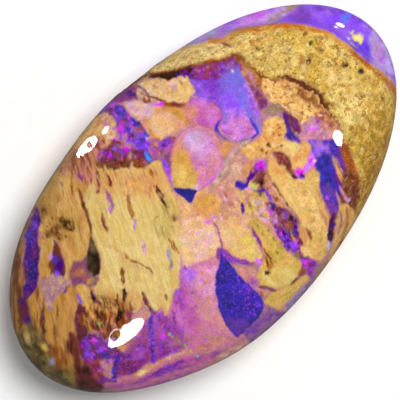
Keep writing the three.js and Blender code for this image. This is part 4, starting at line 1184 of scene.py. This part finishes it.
def skin(bearing, out, under):
    radius = planRadius(bearing)
    narrowing = stone["seatShare"] + (1 - stone["seatShare"]) * np.cos(under)
    x = radius * out * narrowing * np.cos(bearing)
    y = radius * out * narrowing * np.sin(bearing)
    ridge = curveThrough(stone["ridge"], False)
    beyond = insideDistance(np.vstack([ridge, [(2.6, 40), (40, 40), (40, -6.2)]]), x, y)
    share = 1 - (1 - stone["shelfShare"]) * smoothstep(-0.1, stone["ridgeWidth"], beyond)
    rise = (stone["height"] - stone["girthHeight"] + swellAt(x, y)) * share
    z = stone["girthHeight"] * (1 - np.sin(under))
    z = z + rise * np.sqrt(np.clip(1 - out ** stone["domeFullness"], 0, 1))
    return np.stack([x, y, z], axis=1)


def squareToDisc(a, b):  # how far out a point of the square lands on the disc, and its bearing there
    away = np.maximum(np.abs(a), np.abs(b))
    safeA = np.where(a == 0, 1, a)
    safeB = np.where(b == 0, 1, b)
    sideways = b / safeA * math.pi / 4 + np.where(a < 0, math.pi, 0)
    upward = (2 - a / safeB) * math.pi / 4 + np.where(b < 0, math.pi, 0)
    return away, np.where(np.abs(a) > np.abs(b), sideways, upward)


def evenBearing(turn):  # spreads the points evenly round the long outline
    return np.arctan2(stone["halfWidth"] * np.sin(turn), stone["halfLength"] * np.cos(turn))


def skinGrid():
    n, m = stone["cells"]
    i, j = np.meshgrid(np.arange(n + 1), np.arange(m + 1), indexing="ij")
    share, turn = squareToDisc(2 * i.ravel() / n - 1, 2 * j.ravel() / m - 1)
    bearing = evenBearing(turn)
    out = share * stone["patchOut"]
    under = np.zeros_like(out)
    number = i * (m + 1) + j
    corners = [number[:-1, :-1], number[1:, :-1], number[1:, 1:], number[:-1, 1:]]
    quads = [np.stack(corners, axis=-1).reshape(-1, 4)]
    ring = np.concatenate([number[n, :m], number[n:0:-1, m], number[0, m:0:-1], number[:n, 0]])
    ringBearing = bearing[ring]
    startAngle = math.asin(stone["patchOut"] ** (stone["domeFullness"] / 2))
    total = len(bearing)
    rows = stone["upperRows"] + stone["lowerRows"]
    bearings, outs, unders = [bearing], [out], [under]
    for row in range(1, rows + 1):
        if row <= stone["upperRows"]:
            angle = startAngle + (math.pi / 2 - startAngle) * row / stone["upperRows"]
            rowOut, rowUnder = math.sin(angle) ** (2 / stone["domeFullness"]), 0.0
        else:
            rowOut, rowUnder = 1.0, (row - stone["upperRows"]) / stone["lowerRows"] * math.pi / 2
        lower = total + np.arange(len(ring))
        quads.append(np.stack([ring, lower, np.roll(lower, -1), np.roll(ring, -1)], axis=-1))
        bearings.append(ringBearing)
        outs.append(np.full(len(ring), rowOut))
        unders.append(np.full(len(ring), rowUnder))
        ring = lower
        total += len(ring)
    return np.concatenate(bearings), np.concatenate(outs), np.concatenate(unders), np.vstack(quads), ring


def cameraView():  # focal length in pixels, then the camera's right, up and height in mm
    focal = photo["size"] * photo["lens"] / photo["sensor"]
    half = photo["size"] / 2
    right = (half - photo["middle"][0]) / photo["perMm"]
    up = (photo["middle"][1] - half) / photo["perMm"]
    return focal, right, up, stone["girthHeight"] + focal / photo["perMm"]


def photoPlace(points, bearing, under):  # the pixel at which each point of the skin is seen
    right, up = turned(points[:, 0], points[:, 1], -photo["turn"])
    focal, cameraRight, cameraUp, cameraHeight = cameraView()
    half = photo["size"] / 2
    # below the girth the pattern runs on outwards by the length of the skin
    girth = planRadius(bearing)
    inward = girth * (1 - stone["seatShare"]) * (1 - np.cos(under))
    drop = np.hypot(inward, stone["girthHeight"] * np.sin(under))
    spread = np.where(under > 0, (girth + drop) / np.maximum(np.hypot(points[:, 0], points[:, 1]), 1e-9), 1)
    height = np.where(under > 0, stone["girthHeight"], points[:, 2])
    scale = focal / (cameraHeight - height)
    return half + (right * spread - cameraRight) * scale, half - (up * spread - cameraUp) * scale


def vertexNormals(points, quads):
    a, b, c, d = (points[quads[:, k]] for k in range(4))
    faceNormals = np.cross(c - a, d - b)
    normals = np.zeros_like(points)
    for k in range(4):
        for axis in range(3):
            normals[:, axis] += np.bincount(quads[:, k], faceNormals[:, axis], len(points))
    return normals / np.maximum(np.linalg.norm(normals, axis=1, keepdims=True), 1e-12)


def hollowDepth(x, y):
    depth = np.zeros_like(x)
    rough = clouds(x / 0.35, y / 0.35, 311)
    for hx, hy, long, wide, deep, turn in stone["hollows"]:
        along, across = turned(x - hx, y - hy, math.radians(turn))
        bowl = smoothstep(0, 0.9, 1 - (along / long) ** 2 - (across / wide) ** 2)
        depth = np.maximum(depth, deep * bowl * (0.8 + 0.5 * rough))
    return depth


def paintSkin(points, px, py):
    # down the steep sides the clouds of colour follow the skin, so that they aren't drawn out
    drop = np.clip(stone["steepBelow"] - np.maximum(points[:, 2], stone["girthHeight"]), 0, None)
    spread = photo["perMm"] * drop ** 2 / (drop + stone["steepEase"])
    outX, outY = px - photo["middle"][0], py - photo["middle"][1]
    share = 1 + spread / np.maximum(np.hypot(outX, outY), 1)
    painted = paintAt(px, py, photo["middle"][0] + outX * share, photo["middle"][1] + outY * share)
    grey = painted["colour"].mean(1)[:, None]
    painted["colour"] = np.clip(grey + (painted["colour"] - grey) * stone["richness"], 0, 1)
    return painted


def paintFoot(painted, x, y, under):  # the foot and the flat it rests on are plain ironstone and sandstone
    low = smoothstep(*stone["footAngles"], under + stone["footRagged"] * clouds(x / 2.2, y / 2.2, 321))
    patchy = smoothstep(-0.15, 0.2, clouds(x / 1.7, y / 1.7, 322))[:, None]
    streaky = smoothstep(0.0, 0.3, clouds(x / 0.8, y / 3.0, 323))[:, None]
    foot = blend(blend(linear("underBrown"), linear("underTan"), patchy), linear("underMauve"), streaky)
    painted["colour"] = blend(painted["colour"], foot, low[:, None])
    painted["flash"] *= 1 - low
    painted["wood"] *= 1 - low
    painted["sand"] = blend(painted["sand"], stone["footSand"], low)


def addRelief(painted, points, normals, x, y, px, py, under):
    grainHeight, grainSize = stone["grain"]
    fibreHeight, fibreWidth, fibreLength = stone["fibres"]
    top = np.clip(normals[:, 2], 0, 1)
    along, across = turned(px, py, math.radians(woodRun))
    grain = grainHeight * painted["sand"] * clouds(x / grainSize, y / grainSize, 331, 2)
    threads = clouds(across / fibreWidth, along / fibreLength, 332, 2)
    fibre = fibreHeight * painted["wood"] * top ** 2 * threads
    hollow = hollowDepth(x, y) * top
    rise = (grain + fibre - hollow - painted["sink"]) * smoothstep(*stone["reliefAngles"], under)
    painted["dull"] = np.maximum(painted["dull"], smoothstep(*stone["dullHollow"], hollow))
    # painted shade: the deeper a slit or groove, the more it is darkened towards umber
    dark = (0.75 * smoothstep(*stone["slitShade"], painted["sink"]))[:, None]
    painted["colour"] = blend(painted["colour"], linear("umber"), dark)
    return points + normals * rise[:, None]


def addAttributes(mesh, painted):  # the last value of each is for the middle of the flat
    for name, key in (("paint", "colour"), ("flashTone", "flashColour")):
        values = np.ones((len(mesh.vertices), 4))
        values[:, :3] = np.vstack([painted[key], linear("underBrown")])
        mesh.attributes.new(name, "FLOAT_COLOR", "POINT").data.foreach_set("color", values.ravel())
    for name, last in (("flash", 0), ("sand", stone["footSand"]), ("wood", 0), ("dull", 0.3)):
        values = np.append(painted[name], last)
        mesh.attributes.new(name, "FLOAT", "POINT").data.foreach_set("value", values)


def buildStoneMesh():
    bearing, out, under, quads, seatRing = skinGrid()
    points = skin(bearing, out, under)
    x, y = points[:, 0].copy(), points[:, 1].copy()
    points[:, :2] -= (points[:, :2].min(0) + points[:, :2].max(0)) / 2
    normals = vertexNormals(points, quads)
    px, py = photoPlace(points, bearing, under)
    painted = paintSkin(points, px, py)
    paintFoot(painted, x, y, under)
    points = addRelief(painted, points, normals, x, y, px, py, under)

    centre = len(points)
    fan = [(centre, int(b), int(a)) for a, b in zip(seatRing, np.roll(seatRing, -1))]
    places = np.vstack([points, [[0, 0, 0]]]) * mm
    mesh = bpy.data.meshes.new("polished_boulder_opal")
    mesh.from_pydata(places.tolist(), [], quads.tolist() + fan)
    mesh.polygons.foreach_set("use_smooth", np.ones(len(mesh.polygons), bool))
    addAttributes(mesh, painted)
    mesh.update()
    print("stone skin:", len(places), "points,", 2 * len(quads) + len(fan), "triangles")
    return mesh, points, normals, px, py


# Node trees: a wire is a socket that takes part in Python's own sums
class Wire:
    def __init__(self, board, socket):
        self.board = board
        self.socket = socket

    def sum(self, operation, first, second):
        return self.board.node("ShaderNodeMath", dict(operation=operation), {0: first, 1: second})

    def __add__(self, other):
        return self.sum("ADD", self, other)

    def __radd__(self, other):
        return self.sum("ADD", other, self)

    def __sub__(self, other):
        return self.sum("SUBTRACT", self, other)

    def __rsub__(self, other):
        return self.sum("SUBTRACT", other, self)

    def __mul__(self, other):
        return self.sum("MULTIPLY", self, other)

    def __rmul__(self, other):
        return self.sum("MULTIPLY", other, self)

    def between(self, low, high, start=0.0, end=1.0):  # smooth step from low to high
        settings = dict(interpolation_type="SMOOTHSTEP")
        values = {"Value": self, "From Min": low, "From Max": high, "To Min": start, "To Max": end}
        return self.board.node("ShaderNodeMapRange", settings, values, "Result")

    def drift(self, start, end):  # from start to end over the usual reach of a noise
        return self.between(0.3, 0.7, start, end)


class Board:
    def __init__(self, tree):
        self.tree = tree
        self.column = 0

    def pick(self, sockets, key):
        if isinstance(key, int):
            return sockets[key]
        named = [socket for socket in sockets if socket.identifier == key]
        return named[0] if named else sockets[key]

    def node(self, kind, settings, values, output=0):
        made = self.tree.nodes.new(kind)
        made.location = (self.column % 12 * 190 - 2400, 400 - self.column // 12 * 260)
        self.column += 1
        for name, value in settings.items():
            setattr(made, name, value)
        for key, value in values.items():
            socket = self.pick(made.inputs, key)
            if isinstance(value, Wire):
                self.tree.links.new(value.socket, socket)
            else:
                socket.default_value = value
        if output is None:
            return made
        return Wire(self, self.pick(made.outputs, output))

    def mix(self, share, first, second, blend="MIX"):
        settings = dict(data_type="RGBA", blend_type=blend)
        values = {"Factor_Float": share, "A_Color": first, "B_Color": second}
        return self.node("ShaderNodeMix", settings, values, "Result_Color")

    def shade(self, colour, brightness):
        return self.mix(1.0, colour, self.grey(brightness), "MULTIPLY")

    def attribute(self, name, output="Fac"):
        return self.node("ShaderNodeAttribute", dict(attribute_name=name), {}, output)

    def noise(self, place, scale, detail=2.0, rough=0.55):
        values = {"Vector": place, "Scale": scale, "Detail": detail, "Roughness": rough}
        return self.node("ShaderNodeTexNoise", {}, values, "Fac")

    def cells(self, place, scale, output="Color"):
        return self.node("ShaderNodeTexVoronoi", {}, {"Vector": place, "Scale": scale}, output)

    def channel(self, colour, name):
        return self.node("ShaderNodeSeparateColor", {}, {"Color": colour}, name)

    def grey(self, value):
        return self.node("ShaderNodeCombineColor", {}, {"Red": value, "Green": value, "Blue": value})


def rgba(name):  # a tone as a socket takes it
    return tuple(linear(name)) + (1.0,)


# Scales are cells or waves to a mm. A pair is where something begins and is full, or the least and the most
# share of a brightness. A tint is what drives it, where it begins and is full, its strength and its tone
finish = {
    "shimmerScale": 2.0,
    "shimmer": (0.88, 1.12),  # how much the opal's brightness drifts
    "fleckScale": 9.0,
    "flecks": (0.82, 1.16),
    "sparkScale": 10.5,
    "sparkCore": (0.6, 0.3),
    "opalTints": [  # without a tone of its own, a tint takes the colour of the layer's sparks
        ("spark", 0.66, 0.92, 1, None),
        ("bigSpark", 0.8, 0.95, 0.5, None),
        ("gap", 0.8, 0.95, 0.35, "grape"),
    ],
    "bigSparkScale": 6.3,
    "fibreScale": 6.5,
    "fibreStretch": (0.14, 1.0, 0.4),
    "fibres": (0.28, 0.72, 0.87, 1.1),
    "threadScale": 11.05,
    "speckScale": 7.5,
    "specks": (0.89, 1.09),
    "woodTints": [
        ("thread", 0.62, 0.76, 0.22, "rust"),
        ("speck", 0.38, 0.26, 0.4, "oak"),
        ("thread", 0.4, 0.28, 0.2, "wheat"),
    ],
    "jitterScale": 3.0,
    "grainScale": 3.2,
    "gritScale": 6.72,
    "fineScale": 11.0,
    "fineGrain": (0.9, 1.1),
    "sandCloudScale": 1.3,
    "grains": 0.4,  # how much the grains differ in brightness
    "sandTints": [
        ("cloud", 0.54, 0.7, 0.4, "mustard"),
        ("cloud", 0.44, 0.3, 0.3, "wheat"),
        ("grain", 0.88, 0.94, 0.55, "walnut"),
        ("grit", 0.88, 0.93, 0.6, "walnut"),
        ("rareGrain", 0.84, 0.92, 0.4, "copper"),
        ("rareGrit", 0.84, 0.9, 0.35, "cream"),
        ("grain", 0.14, 0.06, 0.3, "wheat"),
    ],
    "opalRoughness": 0.42,
    "woodRoughness": 0.5,
    "sandRoughness": 0.52,
    "fleckRoughness": (-0.03, 0.05),
    "dullRoughness": 0.3,
    "polish": 0.9,
    "sandPolishLoss": 0.35,
    "dullPolishLoss": 0.93,
    "bump": 0.5,
    "bumpHeight": 0.00002,  # metres
    "sandBump": 0.7,
    "woodBump": 0.6,
    "opalBump": 0.06,
}


def tinted(board, colour, sources, tints):
    for source, start, full, strength, tone in tints:
        colour = board.mix(sources[source].between(start, full) * strength, colour, rgba(tone))
    return colour


# slow shimmer, fine flecks and pin-point flashes of the opal's play-of-colour
def opalColour(board, place, paint, fleck, flash, flashTone):
    shimmer = board.noise(place, finish["shimmerScale"], 3.0)
    opal = board.shade(paint, shimmer.drift(*finish["shimmer"]) * fleck.drift(*finish["flecks"]))
    spark = board.cells(place, finish["sparkScale"])
    bigSpark = board.cells(place, finish["bigSparkScale"])
    core = board.cells(place, finish["sparkScale"], "Distance").between(*finish["sparkCore"])
    sources = {
        "spark": (board.channel(spark, "Red"), core),
        "bigSpark": (board.channel(bigSpark, "Red"), 1),
        "gap": (board.channel(spark, "Green"), core),
    }
    for source, start, full, strength, tone in finish["opalTints"]:
        cell, within = sources[source]
        share = cell.between(start, full) * within * flash * strength
        opal = board.mix(share, opal, rgba(tone) if tone else flashTone)
    return opal


# wood turned to stone: fibres along the grain, with fine dark and pale threads
def woodColour(board, place, paint):
    alongGrain = board.node("ShaderNodeMapping", dict(vector_type="TEXTURE"),
                            {"Vector": place, "Rotation": (0, 0, -math.radians(woodRun) - photo["turn"])})
    stretched = board.node("ShaderNodeVectorMath", dict(operation="MULTIPLY"),
                           {0: alongGrain, 1: finish["fibreStretch"]})
    fibre = board.noise(stretched, finish["fibreScale"], 3.0, 0.65)
    thread = board.noise(stretched, finish["threadScale"], 2.0, 0.6)
    speck = board.noise(place, finish["speckScale"], 3.0, 0.75)
    woody = board.shade(paint, fibre.between(*finish["fibres"]) * speck.drift(*finish["specks"]))
    return tinted(board, woody, {"thread": thread, "speck": speck}, finish["woodTints"]), fibre


# sandstone: a grain to each cell, a few of them dark, rusty or pale
def sandColour(board, place, paint):
    values = {"Vector": place, "Scale": finish["jitterScale"]}
    jitter = board.node("ShaderNodeTexNoise", {}, values, "Color")
    warped = board.node("ShaderNodeVectorMath", dict(operation="ADD"), {0: place, 1: jitter})
    grain = board.cells(warped, finish["grainScale"])
    grainEdge = board.cells(warped, finish["grainScale"], "Distance")
    grit = board.cells(warped, finish["gritScale"])
    fine = board.noise(place, finish["fineScale"], 2.0, 0.7)
    grainBright = board.channel(grain, "Red") * finish["grains"] + 0.8
    gritBright = board.channel(grit, "Red") * finish["grains"] + 0.82
    sandy = board.shade(paint, grainBright * gritBright * fine.drift(*finish["fineGrain"]))
    sources = {
        "cloud": board.noise(place, finish["sandCloudScale"], 3.0),
        "grain": board.channel(grain, "Green"),
        "grit": board.channel(grit, "Green"),
        "rareGrain": board.channel(grain, "Blue"),
        "rareGrit": board.channel(grit, "Blue"),
    }
    return tinted(board, sandy, sources, finish["sandTints"]), grainEdge


def opalStoneMaterial():
    material = bpy.data.materials.new("polishedOpalStone")
    material.use_nodes = True
    material.node_tree.nodes.clear()
    board = Board(material.node_tree)
    place = board.node("ShaderNodeTexCoord", {}, {}, "Object")
    place = board.node("ShaderNodeVectorMath", dict(operation="SCALE"), {"Vector": place, "Scale": 1 / mm})
    paint = board.attribute("paint", "Color")
    flashTone = board.attribute("flashTone", "Color")
    flash, sand, wood, dull = (board.attribute(name) for name in ("flash", "sand", "wood", "dull"))
    fleck = board.noise(place, finish["fleckScale"], 2.0, 0.7)
    woody, fibre = woodColour(board, place, paint)
    sandy, grainEdge = sandColour(board, place, paint)
    colour = board.mix(wood, opalColour(board, place, paint, fleck, flash, flashTone), woody)
    colour = board.mix(sand, colour, sandy)

    smooth = finish["opalRoughness"] * (1 - wood) + finish["woodRoughness"] * wood
    roughness = smooth * (1 - sand) + finish["sandRoughness"] * sand
    roughness = roughness + fleck.drift(*finish["fleckRoughness"]) + dull * finish["dullRoughness"]
    coat = finish["polish"] * (1 - sand * finish["sandPolishLoss"]) * (1 - dull * finish["dullPolishLoss"])
    height = sand * (1 - grainEdge) * finish["sandBump"] + wood * fibre * finish["woodBump"]
    height = height + (1 - sand) * (1 - wood) * fleck * finish["opalBump"]
    bump = board.node("ShaderNodeBump", {}, {
        "Strength": finish["bump"], "Distance": finish["bumpHeight"], "Height": height,
    })
    shader = board.node("ShaderNodeBsdfPrincipled", {}, {
        "Base Color": colour, "Roughness": roughness, "Coat Weight": coat, "Normal": bump,
        "Coat Roughness": 0.03, "Coat IOR": 1.4, "Specular IOR Level": 0.06, "IOR": 1.45,
    })
    board.node("ShaderNodeOutputMaterial", {}, {"Surface": shader}, None)
    return material


stoneMesh, skinPoints, skinNormals, skinPx, skinPy = buildStoneMesh()
stonePiece = bpy.data.objects.new("polished_boulder_opal", stoneMesh)
bpy.context.scene.collection.objects.link(stonePiece)
stoneMesh.materials.append(opalStoneMaterial())
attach(stonePiece, "root")
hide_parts("boulder_opal")
print("stone finished")


# Floor, camera and lights
studio = {
    "floorSize": 6.0,
    "floorTone": 0.98,
    "floorGrain": 900.0,  # waves to a metre
    "floorDrift": 0.01,
    "skyStrength": 0.3,
    "skyInPolish": 0.12,  # how strongly the sky shows in the polish
    "keyPower": 2.12,
    "keySize": 0.24,
    "keyDistance": 0.5,
    "keyAim": (0, 0, 0.005),
    "keyDirection": (0.36, 0.34, 1.3),  # right, up and out of the photo
    "glintDistance": 0.35,
    "glintLargest": 0.3,
    "glintPatch": 2.5,  # pixels over which the skin's direction is averaged
    # each white reflection in the photo: middle, half length as a vector, half width, brightness, tone
    "glints": [
        ((125, 334.5), (17, -13), 7.2, 70, (1, 1, 1)),
        ((88, 145), (9, -8.5), 4.6, 60, (1, 0.98, 0.94)),
        ((105.5, 130), (2.6, -3.4), 2.2, 30, (1, 0.95, 0.9)),
        ((338, 137.5), (1.5, 8), 4.6, 60, (0.97, 0.98, 1)),
        ((338.5, 26), (4, 2.2), 1.2, 50, (1, 1, 1)),
    ],
}


def makeFloor():
    size, drift = studio["floorSize"] / 2, studio["floorDrift"]
    mesh = bpy.data.meshes.new("studio_floor")
    corners = [(-size, -size, 0), (size, -size, 0), (size, size, 0), (-size, size, 0)]
    mesh.from_pydata(corners, [], [(0, 1, 2, 3)])
    floor = bpy.data.objects.new("studio_floor", mesh)
    bpy.context.scene.collection.objects.link(floor)
    material = bpy.data.materials.new("palePaper")
    material.use_nodes = True
    material.node_tree.nodes.clear()
    board = Board(material.node_tree)
    place = board.node("ShaderNodeTexCoord", {}, {}, "Object")
    tone = board.noise(place, studio["floorGrain"]).between(0.2, 0.8, -drift, drift) + studio["floorTone"]
    shader = board.node("ShaderNodeBsdfDiffuse", {}, {"Color": board.grey(tone)})
    board.node("ShaderNodeOutputMaterial", {}, {"Surface": shader}, None)
    mesh.materials.append(material)
    floor.visible_glossy = False  # the polish then keeps the stone's own deep colours


def photoDirection(right, up, z):  # a direction given in the photo's own right and up
    return Vector((*turned(right, up, photo["turn"]), z))


def cameraPlace():
    _, right, up, height = cameraView()
    return photoDirection(right, up, height) * mm


def makeCamera():
    data = bpy.data.cameras.new("photo_camera")
    data.lens = photo["lens"]
    data.sensor_width = photo["sensor"]
    data.clip_start = 0.01
    data.clip_end = 20
    camera = bpy.data.objects.new("photo_camera", data)
    camera.location = cameraPlace()
    camera.rotation_euler = (0, 0, -photo["turn"])
    bpy.context.scene.collection.objects.link(camera)
    bpy.context.scene.camera = camera


def areaLamp(name, place, way, across, length, width, power, tone=(1, 1, 1)):  # shines against way
    data = bpy.data.lights.new(name, "AREA")
    data.shape = "ELLIPSE"
    data.size = length
    data.size_y = width
    data.energy = power
    data.color = tone
    lamp = bpy.data.objects.new(name, data)
    xAxis = (across - across.dot(way) * way).normalized()
    yAxis = way.cross(xAxis)
    lamp.rotation_euler = Matrix((xAxis, yAxis, way)).transposed().to_euler()
    lamp.location = place
    bpy.context.scene.collection.objects.link(lamp)
    return lamp


def seenSkin(pixel):  # where a pixel's sight line meets the stone, and the way it bounces off the polish
    away = np.hypot(skinPx - pixel[0], skinPy - pixel[1])
    share = np.exp(-(away / studio["glintPatch"]) ** 2) * (skinNormals[:, 2] > 0.05)
    at = Vector((skinPoints * share[:, None]).sum(0) / share.sum()) * mm
    normal = Vector((skinNormals * share[:, None]).sum(0)).normalized()
    sight = (at - cameraPlace()).normalized()
    return at, (sight - 2 * sight.dot(normal) * normal).normalized()


def glintLamp(name, middle, half, halfWidth, brightness, tone):
    across = np.array((-half[1], half[0])) / math.hypot(*half) * halfWidth
    at, way = seenSkin(middle)
    centre = at + way * studio["glintDistance"]
    planeX = way.orthogonal().normalized()
    planeY = way.cross(planeX)
    columns = []
    for step in (np.array(half, float), across):
        ends = []
        for side in (step, -step):
            start, bounce = seenSkin((middle[0] + side[0], middle[1] + side[1]))
            ends.append(start + bounce * ((centre - start).dot(way) / max(bounce.dot(way), 0.2)))
        reach = (ends[0] - ends[1]) / 2
        columns.append((reach.dot(planeX), reach.dot(planeY)))
    # the ellipse that the polish turns into the wanted one
    axes, halves, _ = np.linalg.svd(np.array(columns).T)
    longAxis = planeX * axes[0, 0] + planeY * axes[1, 0]
    length, width = (min(2 * size, studio["glintLargest"]) for size in halves)
    power = brightness * math.pi * (math.pi / 4 * length * width)  # a lamp's radiance times pi and its area
    rise = round(math.degrees(math.asin(way.z)))
    print(name, "rises", rise, "degrees,", round(length, 3), "by", round(width, 3))
    lamp = areaLamp(name, centre, way, longAxis, length, width, power, tone)
    lamp.visible_diffuse = False


def makeLights():
    world = bpy.data.worlds.new("studio_sky")
    bpy.context.scene.world = world
    world.use_nodes = True
    world.node_tree.nodes.clear()
    board = Board(world.node_tree)
    inPolish = board.node("ShaderNodeLightPath", {}, {}, "Is Glossy Ray")
    strength = studio["skyStrength"] - inPolish * (studio["skyStrength"] - studio["skyInPolish"])
    sky = board.node("ShaderNodeBackground", {}, {"Color": (1, 1, 1, 1), "Strength": strength})
    board.node("ShaderNodeOutputWorld", {}, {"Surface": sky}, None)

    keyWay = photoDirection(*studio["keyDirection"]).normalized()
    place = Vector(studio["keyAim"]) + keyWay * studio["keyDistance"]
    size = studio["keySize"]
    key = areaLamp("key_light", place, keyWay, Vector((1, 0, 0)), size, size, studio["keyPower"])
    key.visible_glossy = False
    for number, glint in enumerate(studio["glints"]):
        glintLamp("glint_light_%d" % (number + 1), *glint)


makeFloor()
makeCamera()
makeLights()
bpy.context.scene.view_settings.view_transform = "Standard"
print("floor, camera and lights placed")
